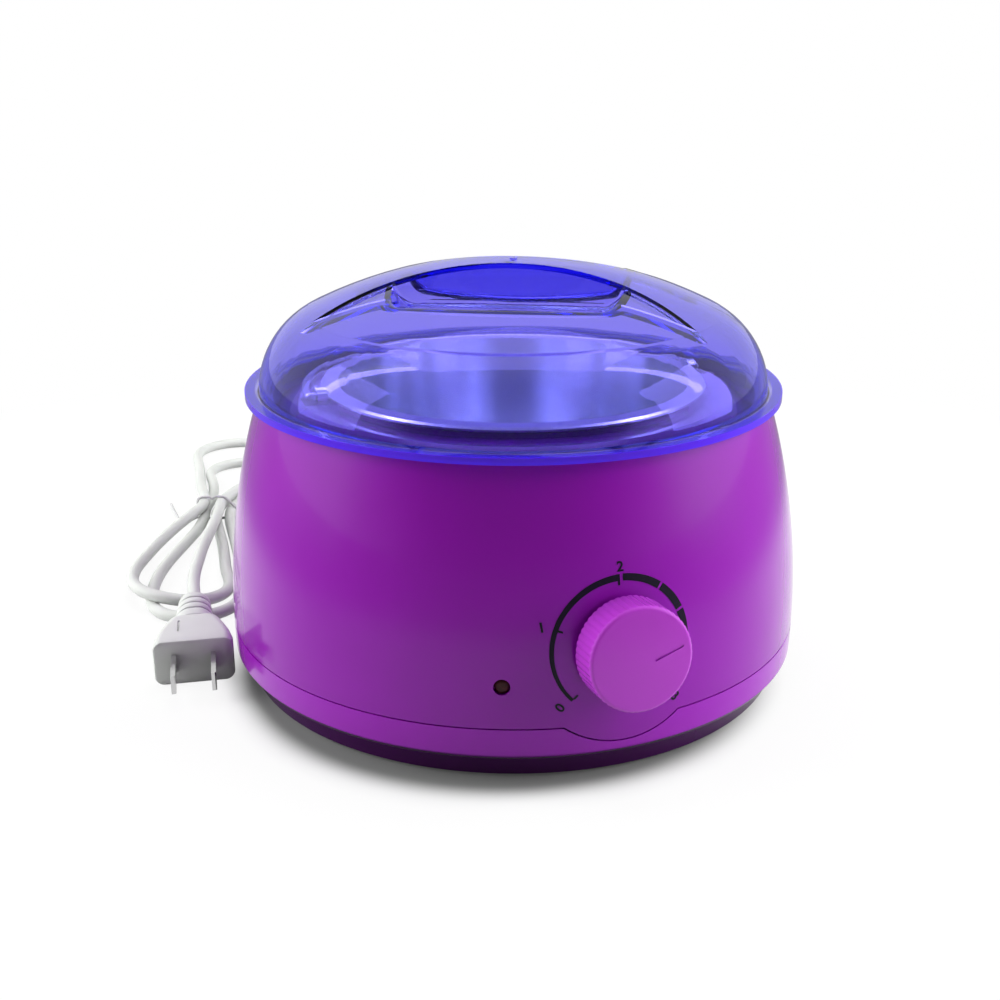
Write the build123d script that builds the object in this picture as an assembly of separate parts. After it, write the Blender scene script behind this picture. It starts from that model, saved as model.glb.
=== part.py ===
from build123d import *
from math import asin, atan2, cos, degrees, hypot, pi, radians, sin, sqrt, tan
import os

# Round wax warmer: bulged casing, heated well, lift-out pot with a folding bail, dome lid
# with a pinch grip, thermostat knob, mains cord in a tied hank.
# Millimetres, +Z up, origin on the surface it stands on, at the pot's axis, knob towards -Y.

# ---------------------------------------------------------------- driving dimensions
FIT = 0.3           # gap between pieces that lift out or pass each other
RUN = 0.06          # radial clearance of turning and threaded fits

SEAM_R = 95.0       # casing, widest radius, at the seam of casing and tray
SEAM_Z = 18.5
SEAM_GAP = 0.45
RIM_R = 82.7        # casing's top edge
RIM_Z = 93.5
RIM_LAND = 2.3
WALL = 2.4

TRAY_EDGE_Z = 10.0  # where the tray's side turns under
TRAY_STEP = 3.6     # how far the side turns in before the skirt
SKIRT_IN = 5.4      # skirt, in from the seam
SKIRT_Z = 1.2
SKIRT_WALL = 3.4
TRAY_FLOOR_Z = 3.2
TRAY_FLOOR_T = 2.4
LIP_H = 3.0         # locating lip above the seam
LIP_T = 1.6
VENT_COUNT = 12
VENT_R = 36.0
VENT_LENGTH = 16.0
VENT_WIDTH = 3.0

POT_MOUTH_R = 57.0
POT_WALL = 1.6
POT_DEPTH = 60.8
POT_DRAFT = 3.6
POT_CORNER = 7.5
POT_RIM_W = 5.7
POT_RIM_T = 1.8
EAR_R = 3.3
EAR_OUT = 2.8       # how far an ear stands out from the rim
SEAT_RISE = 1.5     # pot seat above the casing's edge
SEAT_W = 2.6
SHELF_W = 7.6       # shelf on which the bail lies
GUTTER_Z = 88.0

BAIL_WIRE = 2.4
BAIL_BEND = 1.8
BAIL_OUT = 2.0      # from the ear's face to the wire's centre
BAIL_REACH = 2.3    # how far its end goes into the ear

LID_FLANGE_R = 86.8
LID_FLANGE_T = 2.1
LID_WALL = 2.0
DOME_R = 82.4
DOME_TOP = 134.6
CROWN_R = 153.0
SHOULDER_R = 28.0
LID_SKIRT_H = 3.2
LID_SKIRT_T = 1.6
LID_TURN = -25.8    # how the loose lid happens to lie, degrees about Z
GRIP_HALF = 7.0     # half the grip bar's thickness at its middle
GRIP_CURVE = 80.0   # plan radius of the grip bar's hollow sides
POCKET_HALF = 33.0
POCKET_FLARE = 27.0
POCKET_DEPTH = 14.0
POCKET_RISE = 9.4
POCKET_CORNER = 6.5
POCKET_FOOT = 1.5   # rounding at the grip bar's foot, outside
POCKET_LIP = 2.0    # rounding of the pocket's front lip, outside
CRESCENT_EDGE = 32.0
CRESCENT_DEPTH = 1.2

WELL_GAP = 0.8
WELL_WALL = 1.2
WELL_FLANGE_Z = 84.5
WELL_SCREW_IN = 3.0 # from the pot seat to the well's screws
WELL_EDGE = 4.5     # from these screws to the flange's edge
SCREW_HEAD_R = 2.8
BAND_LOW = 12.0     # above the well's underside
BAND_H = 26.0
BAND_T = 1.6
BAND_SPLIT = 7.0    # degrees
STRAP_H = 10.0
STRAP_T = 0.8
STRAP_LUG = 9.0
REFLECTOR_R = 62.0
REFLECTOR_DROP = 12.0
REFLECTOR_T = 0.8
PILLAR_CIRCLE = 54.0

KNOB_Z = 41.2
KNOB_R = 15.4
KNOB_H = 10.5
KNOB_LIFT = 0.9
KNOB_WALL = 2.2
KNOB_EDGE = 1.3     # rounding of the face's edge
KNOB_CROWN = 0.6    # rise of the face's middle
FLUTES = 50
FLUTE_R = 0.7
POINTER_ANGLE = 27.6
POINTER_IN = 3.8
POINTER_OUT = 12.2
POINTER_SIDE = 2.3  # how far the pointer line lies below the axis
POINTER_W = 1.2
SHAFT_R = 3.0
BUSH_R = 4.0
BUSH_REACH = 3.0    # bush end above the casing's skin
THERMO_W = 26.0
THERMO_H = 22.0
THERMO_D = 15.0
TONGUE_R = 28.4

LAMP_ANGLE = -21.3  # degrees from the knob, about Z
LAMP_Z = 31.5
LAMP_R = 2.4

SCREW_SPACE = 16.0  # from the seam in to the base screws
POST_R = 4.2
POST_H = 52.0
BOSS_R = 5.6
BASE_SCREW_R = 1.5
FOOT_SPACE = 19.0   # from the seam in to the feet
FOOT_R = 6.5

CORD_D = 4.6
CORD_Z = 13.6
NECK_R = 3.6        # strain relief's neck in the tray's wall
RELIEF_LENGTH = 28.0
HANK_H = 10.0
PLUG_W = 26.0
PLUG_H = 16.0
PLUG_L = 31.0       # front face to the neck
PLUG_NECK = 14.0
NECK_RINGS = 3
RING_R = 5.3
CLAMP_W = 22.0
CLAMP_L = 8.0
CLAMP_PITCH = 15.0
BLADE_PITCH = 12.7
BLADE_W = 6.35
BLADE_T = 1.5
BLADE_L = 15.0

# ---------------------------------------------------------------- derived sizes
BULGE_R = ((RIM_Z - SEAM_Z) ** 2 + (SEAM_R - RIM_R) ** 2) / (2 * (SEAM_R - RIM_R))
FLOOR_TOP = TRAY_FLOOR_Z + TRAY_FLOOR_T
SKIRT_R = SEAM_R - SKIRT_IN
SCREW_CIRCLE = SEAM_R - SCREW_SPACE
FOOT_CIRCLE = SEAM_R - FOOT_SPACE
SEAT_Z = RIM_Z + SEAT_RISE
SEAT_R = POT_MOUTH_R + POT_WALL + WELL_GAP
WELL_SCREW_R = SEAT_R + SEAT_W + WELL_SCREW_IN
WELL_FLANGE_R = WELL_SCREW_R + WELL_EDGE
POT_RIM_R = POT_MOUTH_R + POT_RIM_W
EAR_FACE = POT_RIM_R + EAR_OUT
BAIL_Z = SEAT_Z
BAIL_R = EAR_FACE + BAIL_OUT
SHELF_Z = BAIL_Z - BAIL_WIRE / 2 - FIT
SHELF_R = SEAT_R + SEAT_W + SHELF_W
OPENING_R = RIM_R - RIM_LAND
POT_FLOOR = SEAT_Z + POT_RIM_T - POT_DEPTH
POT_BASE = POT_FLOOR - POT_WALL
WELL_BASE = POT_BASE - WELL_GAP - WELL_WALL
BAND_Z = WELL_BASE + BAND_LOW
REFLECTOR_Z = WELL_BASE - REFLECTOR_DROP
PROBE_R = 2.6
PROBE_Z = WELL_BASE - PROBE_R - 0.15
BOARD_Z = FLOOR_TOP + 6.5


def side_r(z, inset=0.0):
    """Radius of the bulged side at a height, or of its offset inside."""
    return SEAM_R - BULGE_R + sqrt((BULGE_R - inset) ** 2 - (z - SEAM_Z) ** 2)


def side_arc(z0, z1, inset=0.0):
    zm = (z0 + z1) / 2
    return ThreePointArc((side_r(z0, inset), z0), (side_r(zm, inset), zm), (side_r(z1, inset), z1))


def turned(*edges):
    """Solid of revolution about Z from edges drawn as (radius, height)."""
    return revolve(Plane.XZ * make_face(edges), Axis.Z)


def turned_face(face):
    return revolve(Plane.XZ * face, Axis.Z)


def ring(r_in, r_out, z0, z1):
    tube = Pos(0, 0, z0) * extrude(Circle(r_out), z1 - z0)
    if r_in > 0:
        tube -= Pos(0, 0, z0 - 1) * extrude(Circle(r_in), z1 - z0 + 2)
    return tube


def rod(radius, length, plane):
    """Cylinder that starts on a plane and runs along its normal."""
    return extrude(plane * Circle(radius), length)


def skin_plane(angle, z):
    """Plane on the casing's outer skin; angle is from the knob's side, about Z."""
    tilt = asin((z - SEAM_Z) / BULGE_R)
    a = radians(angle)
    out = (sin(a) * cos(tilt), -cos(a) * cos(tilt), sin(tilt))
    at = (side_r(z) * sin(a), -side_r(z) * cos(a), z)
    return Plane(origin=at, x_dir=(cos(a), sin(a), 0), z_dir=out)


def spots(radius, *angles):
    return [Pos(radius * cos(radians(a)), radius * sin(radians(a)), 0) for a in angles]


def lead(radius, points, bends):
    """Round tube along straight runs joined by tangent arcs."""
    path = FilletPolyline(*points, radius=bends)
    start = Plane(origin=path @ 0, z_dir=path % 0)
    return sweep(start * Circle(radius), path=path)


def route_bends(points):
    """Radius of each corner: 0.45 of its shorter run over the tangent of half its turn."""
    knots = [Vector(*p) for p in points]
    bends = []
    for a, b, c in zip(knots, knots[1:], knots[2:]):
        turn = radians((b - a).get_angle(c - b))
        bends.append(0.45 * min((b - a).length, (c - b).length) / tan(turn / 2))
    return bends


def save(name, shape):
    export_step(shape, f"parts/{name}.step")


os.makedirs("parts", exist_ok=True)

dial = skin_plane(0, KNOB_Z)
lamp_axis = skin_plane(LAMP_ANGLE, LAMP_Z)
well_screw_angles = (30, 150, 270)
post_angles = (60, 120, 240, 300)
foot_angles = (30, 150, 210, 330)
pillar_angles = (20, 160, 270)

# ---------------------------------------------------------------- upper casing
case_low = SEAM_Z + SEAM_GAP / 2
gutter_under = GUTTER_Z - WALL
shelf_under = SHELF_Z - WALL
gutter_in = OPENING_R - 1.8
casing = turned(
    side_arc(case_low, RIM_Z),
    Polyline(
        (RIM_R, RIM_Z),
        (OPENING_R, RIM_Z),
        (OPENING_R, GUTTER_Z + 1.0),
        (gutter_in, GUTTER_Z),
        (SHELF_R, SHELF_Z),
        (SEAT_R + SEAT_W, SHELF_Z),
        (SEAT_R + SEAT_W, SEAT_Z),
        (SEAT_R, SEAT_Z),
        (SEAT_R, WELL_FLANGE_Z),
        (SEAT_R + SEAT_W, WELL_FLANGE_Z),
        (SEAT_R + SEAT_W, shelf_under),
        (SHELF_R - 0.8, shelf_under),
        (gutter_in - 1.0, gutter_under),
        (side_r(gutter_under, WALL), gutter_under),
    ),
    side_arc(gutter_under, case_low, WALL),
    Line((side_r(case_low, WALL), case_low), (side_r(case_low), case_low)),
)

# Round tongue that dips into the tray under the dial
tongue_low = SEAM_Z - 9.0
tongue_top = SEAM_Z + 1.0
tongue_band = turned(
    side_arc(tongue_low, tongue_top),
    Line((side_r(tongue_top), tongue_top), (side_r(tongue_top, WALL), tongue_top)),
    side_arc(tongue_top, tongue_low, WALL),
    Line((side_r(tongue_low, WALL), tongue_low), (side_r(tongue_low), tongue_low)),
)
dial_back = dial.offset(-12)
casing += tongue_band & rod(TONGUE_R, 24, dial_back)

# Pad behind the dial for the thermostat's bush
pad_back = -WALL - 2.0
skin_space = turned(
    side_arc(SEAM_Z, RIM_Z, 1.0),
    Polyline((side_r(RIM_Z, 1.0), RIM_Z), (0, RIM_Z), (0, SEAM_Z), (side_r(SEAM_Z, 1.0), SEAM_Z)),
)
casing += rod(11.0, 8.0, dial.offset(pad_back)) & skin_space

# Floors of the two notches that take the pot's ears
notch_half = EAR_R + 2.0
notch_z = BAIL_Z - EAR_R - 1.0
for side in (-1, 1):
    x0 = SEAT_R + SEAT_W / 2
    block = Box(SHELF_R + 0.6 - x0, 2 * notch_half + 2 * WALL, SHELF_Z - notch_z + WALL)
    casing += Pos(side * (x0 + SHELF_R + 0.6) / 2, 0, (SHELF_Z + notch_z - WALL) / 2) * block
    cut = Box(SHELF_R - SEAT_R - SEAT_W, 2 * notch_half, 10)
    casing -= Pos(side * (SHELF_R + SEAT_R + SEAT_W) / 2, 0, notch_z + 5) * cut

# Bosses for the well's screws, and posts for the base screws
for spot in spots(WELL_SCREW_R, *well_screw_angles):
    casing += spot * ring(0, POST_R, WELL_FLANGE_Z, SHELF_Z - 0.5)
    casing -= spot * ring(0, 1.3, WELL_FLANGE_Z - 1, WELL_FLANGE_Z + 5.5)
post_low = SEAM_Z - 2.5
post_top = post_low + POST_H
for angle in post_angles:
    spin = Rot(0, 0, angle)
    rib_in = SCREW_CIRCLE + POST_R - 1.0
    rib = Box(SEAM_R, WALL, post_top - SEAM_Z - LIP_H - 2, align=(Align.MIN, Align.CENTER, Align.MIN))
    rib = (spin * Pos(rib_in, 0, SEAM_Z + LIP_H + 2) * rib) & skin_space
    post = spin * Pos(SCREW_CIRCLE, 0, 0) * ring(0, POST_R, post_low, post_top)
    casing += [post, rib]
    casing -= spin * Pos(SCREW_CIRCLE, 0, 0) * ring(0, BASE_SCREW_R + RUN, post_low - 1, post_low + 12)

# Bush hole with a spot face, and the pilot-light hole
casing -= rod(8.4, 6, dial.offset(-0.6))
casing -= rod(BUSH_R + RUN, 20, dial.offset(-10))
casing -= rod(LAMP_R, 20, lamp_axis.offset(-10))
save("upper_casing", casing)

# ---------------------------------------------------------------- base tray
tray_top = SEAM_Z - SEAM_GAP / 2
lip_out = side_r(SEAM_Z, WALL) - FIT
lip_top = SEAM_Z + LIP_H
floor_r = SKIRT_R - SKIRT_WALL
tray = turned(
    side_arc(tray_top, TRAY_EDGE_Z),
    Polyline(
        (side_r(TRAY_EDGE_Z), TRAY_EDGE_Z),
        (side_r(TRAY_EDGE_Z) - 1.0, TRAY_EDGE_Z - 1.4),
        (side_r(TRAY_EDGE_Z) - TRAY_STEP, TRAY_EDGE_Z - 2.2),
        (SKIRT_R, SKIRT_Z),
        (floor_r, SKIRT_Z),
        (floor_r, TRAY_FLOOR_Z),
        (0, TRAY_FLOOR_Z),
        (0, FLOOR_TOP),
        (floor_r + 2.0, FLOOR_TOP),
        (lip_out - 2.4, TRAY_EDGE_Z - 0.6),
        (lip_out, TRAY_EDGE_Z + 1.8),
        (lip_out, TRAY_EDGE_Z + 3.4),
        (lip_out - LIP_T, TRAY_EDGE_Z + 5.0),
        (lip_out - LIP_T, lip_top),
        (lip_out, lip_top),
        (lip_out, tray_top),
        (side_r(tray_top), tray_top),
    ),
)
tray -= rod(TONGUE_R + SEAM_GAP, 24, dial_back) & ring(side_r(TRAY_EDGE_Z, WALL) - 0.4, 110, 0, 60)
for angle in range(0, 360, 360 // VENT_COUNT):
    vent = Pos(VENT_R, 0, FLOOR_TOP) * Box(VENT_LENGTH, VENT_WIDTH, 4 * TRAY_FLOOR_T)
    tray -= Rot(0, 0, angle + 15) * vent
screw_seat = FLOOR_TOP + 3.6
for spot in spots(SCREW_CIRCLE, *post_angles):
    tray += spot * ring(0, BOSS_R, TRAY_FLOOR_Z, post_low - 0.1)
    tray -= spot * ring(0, BASE_SCREW_R + 0.4, 0, SEAM_Z)
    tray -= spot * ring(0, BASE_SCREW_R + 2.6, 0, screw_seat)
for spot in spots(FOOT_CIRCLE, *foot_angles):
    tray -= spot * ring(0, 2.0 + RUN, 0, SEAM_Z)
for spot in spots(PILLAR_CIRCLE, *pillar_angles):
    tray += spot * ring(0, 3.8, FLOOR_TOP - 0.5, REFLECTOR_Z)
    tray -= spot * ring(0, 1.3, REFLECTOR_Z - 8, REFLECTOR_Z + 1)

# Cord saddle and the hole for the strain relief
cord_axis = Plane(origin=(0, 0, CORD_Z), x_dir=(1, 0, 0), z_dir=(0, 1, 0))
clamp_y = SCREW_CIRCLE + 1.0
saddle_top = CORD_Z - 1.0
saddle_h = saddle_top - FLOOR_TOP + 0.5
tray += Pos(0, clamp_y, saddle_top - saddle_h / 2) * Box(CLAMP_W, CLAMP_L, saddle_h)
tray -= rod(CORD_D / 2 + RUN, 20, cord_axis.offset(clamp_y - 10))
for side in (-1, 1):
    tray -= Pos(side * CLAMP_PITCH / 2, clamp_y, 0) * ring(0, 1.2, saddle_top - 5, saddle_top + 1)
tray -= rod(NECK_R + RUN, 20, cord_axis.offset(lip_out - 6))

# Pegs under the terminal block
block_y = 50.0
for side in (-1, 1):
    tray += Pos(side * 8, block_y, 0) * ring(0, 2.0, FLOOR_TOP - 0.5, FLOOR_TOP + 3.0)
save("base_tray", tray)

screws = []
feet = []
for spot in spots(SCREW_CIRCLE, *post_angles):
    head = spot * ring(0, BASE_SCREW_R + 2.1, screw_seat - 2.2, screw_seat)
    screws.append(head + spot * ring(0, BASE_SCREW_R, screw_seat - 1, post_low + 10.5))
for spot in spots(FOOT_CIRCLE, *foot_angles):
    pad = spot * ring(0, FOOT_R, 0, TRAY_FLOOR_Z)
    pad = chamfer(pad.edges().group_by(Axis.Z)[0], 0.6)
    feet.append(pad + spot * ring(0, 2.0, TRAY_FLOOR_Z - 1, FLOOR_TOP + 1.5))
save("base_screws", Compound(children=screws))
save("rubber_feet", Compound(children=feet))

# ---------------------------------------------------------------- pot and bail
def pot_r(z):
    """Outside radius of the drafted pot wall."""
    return POT_MOUTH_R + POT_WALL - POT_DRAFT * (SEAT_Z - z) / (SEAT_Z - POT_BASE)


def cup_corner(radius, base, corner):
    """Rounded corner between a flat base and the drafted wall, as two tangent ends."""
    lean = atan2(POT_DRAFT, SEAT_Z - POT_BASE)
    reach = corner * tan(pi / 4 - lean / 2)
    return (radius - reach, base), (radius + reach * sin(lean), base + reach * cos(lean))


def cup_points(gap, base, top, corner):
    """Flat start, both ends of the corner and the top of an offset of the pot's outside."""
    foot = pot_r(base) + gap
    a, b = cup_corner(foot, base, corner)
    return a, b, (pot_r(top) + gap, top)


def cup_edges(gap, base, top, corner):
    a, b, c = cup_points(gap, base, top, corner)
    bend = Line(a, (a[0] + 1, a[1]))
    return [Line((0, base), a), TangentArc(a, b, tangent=bend % 1), Line(b, c)]


rim_top = SEAT_Z + POT_RIM_T
outside = cup_edges(0, POT_BASE, SEAT_Z, POT_CORNER + POT_WALL)
inside = cup_edges(-POT_WALL, POT_FLOOR, rim_top, POT_CORNER)
mouth = pot_r(rim_top) - POT_WALL
pot = turned(
    *outside,
    Polyline(
        (pot_r(SEAT_Z), SEAT_Z),
        (POT_RIM_R - 0.6, SEAT_Z),
        (POT_RIM_R, SEAT_Z + 0.6),
        (POT_RIM_R, rim_top - 0.6),
        (POT_RIM_R - 0.6, rim_top),
        (mouth, rim_top),
    ),
    *inside,
    Line((0, POT_FLOOR), (0, POT_BASE)),
)
ear_root = SEAT_R + SEAT_W + FIT
ear_plane = Plane(origin=(ear_root, 0, BAIL_Z), x_dir=(0, 1, 0), z_dir=(1, 0, 0))
ear = rod(EAR_R, EAR_FACE - ear_root, ear_plane)
tab_l = EAR_FACE - POT_MOUTH_R - 2
tab = Box(tab_l, 2 * EAR_R + 1.4, POT_RIM_T, align=(Align.MIN, Align.CENTER, Align.MIN))
ear += Pos(POT_MOUTH_R + 2, 0, SEAT_Z) * tab
ear_depth = BAIL_REACH + FIT
ear_mouth = ear_plane.offset(EAR_FACE - ear_root - ear_depth)
ear_hole = rod(BAIL_WIRE / 2 + RUN, ear_depth + 1, ear_mouth)
for turn in (Rot(0, 0, 0), Rot(0, 0, 180)):
    pot += turn * ear
    pot -= turn * ear_hole
save("wax_pot", pot)

bend_x = sqrt((BAIL_R - BAIL_BEND) ** 2 - BAIL_BEND ** 2)
lap = degrees(atan2(BAIL_BEND, bend_x))
pin_x = EAR_FACE - BAIL_REACH
bail_edges = [
    Line((pin_x, 0), (bend_x, 0)),
    CenterArc((bend_x, BAIL_BEND), BAIL_BEND, -90, 90 + lap),
    CenterArc((0, 0), BAIL_R, lap, 180 - 2 * lap),
    CenterArc((-bend_x, BAIL_BEND), BAIL_BEND, 180 - lap, 90 + lap),
    Line((-bend_x, 0), (-pin_x, 0)),
]
bail_path = Pos(0, 0, BAIL_Z) * Wire(bail_edges)
bail_start = Plane(origin=(pin_x, 0, BAIL_Z), z_dir=(1, 0, 0))
save("bail_handle", sweep(bail_start * Circle(BAIL_WIRE / 2), path=bail_path))

# ---------------------------------------------------------------- lid
crown_z = DOME_TOP - CROWN_R
shoulder_x = DOME_R - SHOULDER_R
shoulder_z = crown_z + sqrt((CROWN_R - SHOULDER_R) ** 2 - shoulder_x ** 2)
flange_top = RIM_Z + LID_FLANGE_T
meet = atan2(shoulder_z - crown_z, shoulder_x)


def dome_arcs(inset, start_z):
    """Shoulder and crown of the dome's profile, up to the axis, offset inwards."""
    low = asin((start_z - shoulder_z) / (SHOULDER_R - inset))
    r1 = SHOULDER_R - inset
    shoulder = CenterArc((shoulder_x, shoulder_z), r1, degrees(low), degrees(meet - low))
    crown = CenterArc((0, crown_z), CROWN_R - inset, degrees(meet), 90 - degrees(meet))
    return shoulder, crown


def dome_body(inset, start_z):
    shoulder, crown = dome_arcs(inset, start_z)
    foot = shoulder @ 0
    top = crown @ 1
    close = Polyline((0, top.Y), (0, start_z), (foot.X, start_z))
    return turned(shoulder, crown, close)


def ball(radius):
    return Pos(0, 0, crown_z) * Sphere(radius)


def drum_gap(edge, grow):
    """Furthest distance of an edge from the grip bar's hollow side."""
    spots_on = [edge @ t for t in (0.1, 0.5, 0.9)]
    return max(abs(hypot(q.X, q.Y + GRIP_HALF + GRIP_CURVE) - GRIP_CURVE - grow) for q in spots_on)


def pocket(grow):
    """One finger pocket on the -Y side of the grip bar, grown by a wall thickness."""
    slope = radians(POCKET_RISE)
    centre = -GRIP_HALF - GRIP_CURVE
    floor_z = DOME_TOP - POCKET_DEPTH - grow - GRIP_HALF * tan(slope)
    face = Plane(origin=(0, 0, floor_z), x_dir=(1, 0, 0), z_dir=(0, -cos(slope), sin(slope)))
    half = POCKET_HALF + grow
    tall = 40.0
    spread = tall * tan(radians(POCKET_FLARE))
    shape = Polyline((-half, 0), (half, 0), (half + spread, tall), (-half - spread, tall), close=True)
    shape = make_face(shape)
    shape = fillet(shape.vertices().group_by(Axis.Y)[0], POCKET_CORNER)
    deep = extrude(face * shape, 90)
    drum = Pos(0, centre, 0) * ring(0, GRIP_CURVE + grow, 60, 180)
    edge = CRESCENT_EDGE + grow
    strip = Pos(0, -edge, 120) * Box(200, edge, 120, align=(Align.CENTER, Align.MIN, Align.CENTER))
    shallow = strip - ball(CROWN_R - grow - CRESCENT_DEPTH)
    room = drum & (deep + shallow)
    low = [e for e in room.edges() if e.center().Z < floor_z + POCKET_CORNER and drum_gap(e, grow) < 0.05]
    return fillet(low, POCKET_FOOT + grow)


def lip_edges(body, radius):
    """Front lips of both pockets and their corners, where the floors leave the dome."""
    found = []
    for e in body.edges():
        on_dome = all(abs(((e @ t) - Vector(0, 0, crown_z)).length - radius) < 0.02 for t in (0.1, 0.5, 0.9))
        middle = e.center()
        if on_dome and abs(middle.Y) > CRESCENT_EDGE and abs(middle.X) < POCKET_HALF + 5 and e.length > 4:
            found.append(e)
    return found


def pinched(inset):
    """Dome with both pockets taken out, at a depth below the outer skin."""
    body = dome_body(inset, flange_top - 0.5) - pocket(inset) - Rot(0, 0, 180) * pocket(inset)
    return fillet(lip_edges(body, CROWN_R - inset), POCKET_LIP + inset)


shell = pinched(0)
hollow = pinched(LID_WALL)
skirt_out = OPENING_R - FIT
skirt_in = skirt_out - LID_SKIRT_T
lid = shell + ring(0, LID_FLANGE_R, RIM_Z, flange_top)
lid += ring(skirt_in, skirt_out, RIM_Z - LID_SKIRT_H, flange_top)
lid -= hollow
lid -= ring(0, skirt_in, RIM_Z - 10, flange_top)
lid += Pos(0, 0, DOME_TOP - 1) * extrude(Circle(1.2), 1.5)
save("lid", Rot(0, 0, LID_TURN) * lid)

# ---------------------------------------------------------------- heated well
flange_low = WELL_FLANGE_Z - WELL_WALL
well_out = cup_edges(WELL_GAP + WELL_WALL, WELL_BASE, flange_low, POT_CORNER + POT_WALL + WELL_WALL)
well_in = cup_edges(WELL_GAP, WELL_BASE + WELL_WALL, WELL_FLANGE_Z, POT_CORNER + POT_WALL)
well = turned(
    *well_out,
    Polyline(
        (pot_r(flange_low) + WELL_GAP + WELL_WALL, flange_low),
        (WELL_FLANGE_R, flange_low),
        (WELL_FLANGE_R, WELL_FLANGE_Z),
        (pot_r(WELL_FLANGE_Z) + WELL_GAP, WELL_FLANGE_Z),
    ),
    *well_in,
    Line((0, WELL_BASE + WELL_WALL), (0, WELL_BASE)),
)
well_screws = []
for spot in spots(WELL_SCREW_R, *well_screw_angles):
    well -= spot * ring(0, 1.7, flange_low - 1, WELL_FLANGE_Z + 1)
    head = spot * ring(0, SCREW_HEAD_R, flange_low - 1.8, flange_low)
    well_screws.append(head + spot * ring(0, 1.25, flange_low - 1, WELL_FLANGE_Z + 5))
save("heating_well", well)
save("well_screws", Compound(children=well_screws))


def cone_band(gap, thick, z0, z1):
    """Band that follows the well's drafted wall."""
    base = WELL_GAP + WELL_WALL + gap
    corners = [
        (pot_r(z0) + base, z0),
        (pot_r(z0) + base + thick, z0),
        (pot_r(z1) + base + thick, z1),
        (pot_r(z1) + base, z1),
    ]
    return turned_face(make_face(Polyline(*corners, close=True)))


def wedge(half_angle, radius=90.0):
    """Wedge that opens towards +Y."""
    w = radius * tan(radians(half_angle))
    corners = Polyline((0, 0), (w, radius), (-w, radius), close=True)
    return Pos(0, 0, 0) * extrude(make_face(corners), 120)


band_top = BAND_Z + BAND_H
band = cone_band(0.05, BAND_T, BAND_Z, band_top) - wedge(BAND_SPLIT / 2)
save("heater_band", band)
strap_z = BAND_Z + (BAND_H - STRAP_H) / 2
strap = cone_band(0.1 + BAND_T, STRAP_T, strap_z, strap_z + STRAP_H) - wedge(BAND_SPLIT / 2)
strap_r = pot_r(strap_z) + WELL_GAP + WELL_WALL + BAND_T
lug_x = (strap_r + 1) * tan(radians(BAND_SPLIT / 2))
bolt_y = strap_r + STRAP_LUG / 2 + 1.5
bolt_z = strap_z + STRAP_H / 2
bolt_plane = Plane(origin=(0, bolt_y, bolt_z), x_dir=(0, 1, 0), z_dir=(1, 0, 0))
for side in (-1, 1):
    lug = Box(STRAP_T, STRAP_LUG, STRAP_H, align=(Align.CENTER, Align.MIN, Align.MIN))
    strap += Pos(side * (lug_x + STRAP_T / 2), strap_r + 0.6, strap_z) * lug
strap -= rod(1.6, 20, bolt_plane.offset(-10))
save("band_strap", strap)
lug_out = lug_x + STRAP_T
bolt = rod(1.5, 2 * lug_out + 8, bolt_plane.offset(-lug_out - 1))
bolt += rod(2.8, 2.0, bolt_plane.offset(-lug_out - 2.0))
nut = extrude(bolt_plane.offset(lug_out) * RegularPolygon(3.2, 6), 2.4)
nut -= rod(1.5 + RUN, 10, bolt_plane.offset(lug_out - 2))
save("strap_bolt", Compound(children=[bolt, nut]))

terminals = []
term_z = band_top - 5.0
term_r = pot_r(term_z) + WELL_GAP + WELL_WALL + BAND_T
for angle in (60, 120):
    a = radians(angle)
    out = Plane(origin=(0, 0, term_z), x_dir=(0, 0, 1), z_dir=(cos(a), sin(a), 0))
    stud_base = out.offset(term_r + FIT)
    terminals.append(rod(1.5, 6.0 - FIT, stud_base) + rod(2.6, 1.2, stud_base))
save("heater_terminals", Compound(children=terminals))

# ---------------------------------------------------------------- heat reflector
dish = ring(0, REFLECTOR_R, REFLECTOR_Z, REFLECTOR_Z + REFLECTOR_T)
dish += ring(REFLECTOR_R - REFLECTOR_T, REFLECTOR_R, REFLECTOR_Z, REFLECTOR_Z + 3.0)
dish_screws = []
for spot in spots(PILLAR_CIRCLE, *pillar_angles):
    dish -= spot * ring(0, 1.6, 0, 40)
    head = spot * ring(0, SCREW_HEAD_R, REFLECTOR_Z + REFLECTOR_T, REFLECTOR_Z + REFLECTOR_T + 1.8)
    dish_screws.append(head + spot * ring(0, 1.25, REFLECTOR_Z - 7, REFLECTOR_Z + REFLECTOR_T + 1))
save("heat_reflector", dish)
save("reflector_screws", Compound(children=dish_screws))


# ---------------------------------------------------------------- probe and fuse under the well
def saddle(y, radius, half_length):
    """Spot-welded clip that holds a round body against the well's underside."""
    thick = 0.8
    centre = WELL_BASE - radius - 0.15
    face = Plane(origin=(-half_length, y, centre), x_dir=(0, 1, 0), z_dir=(1, 0, 0))
    r_in = radius + 0.1
    loop = Circle(r_in + thick) - Circle(r_in)
    loop -= Pos(0, 10 + radius * 0.3) * Rectangle(30, 20)
    up = WELL_BASE - centre
    legs = Sketch()
    for side in (-1, 1):
        leg_h = up - radius * 0.2 + 0.2
        leg = Pos(side * (r_in + thick / 2), up - leg_h / 2) * Rectangle(thick, leg_h)
        foot = Pos(side * (r_in + 2.6), up - thick / 2) * Rectangle(5.2, thick)
        legs += [leg, foot]
    return extrude(face * (loop + legs), 2 * half_length)


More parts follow.
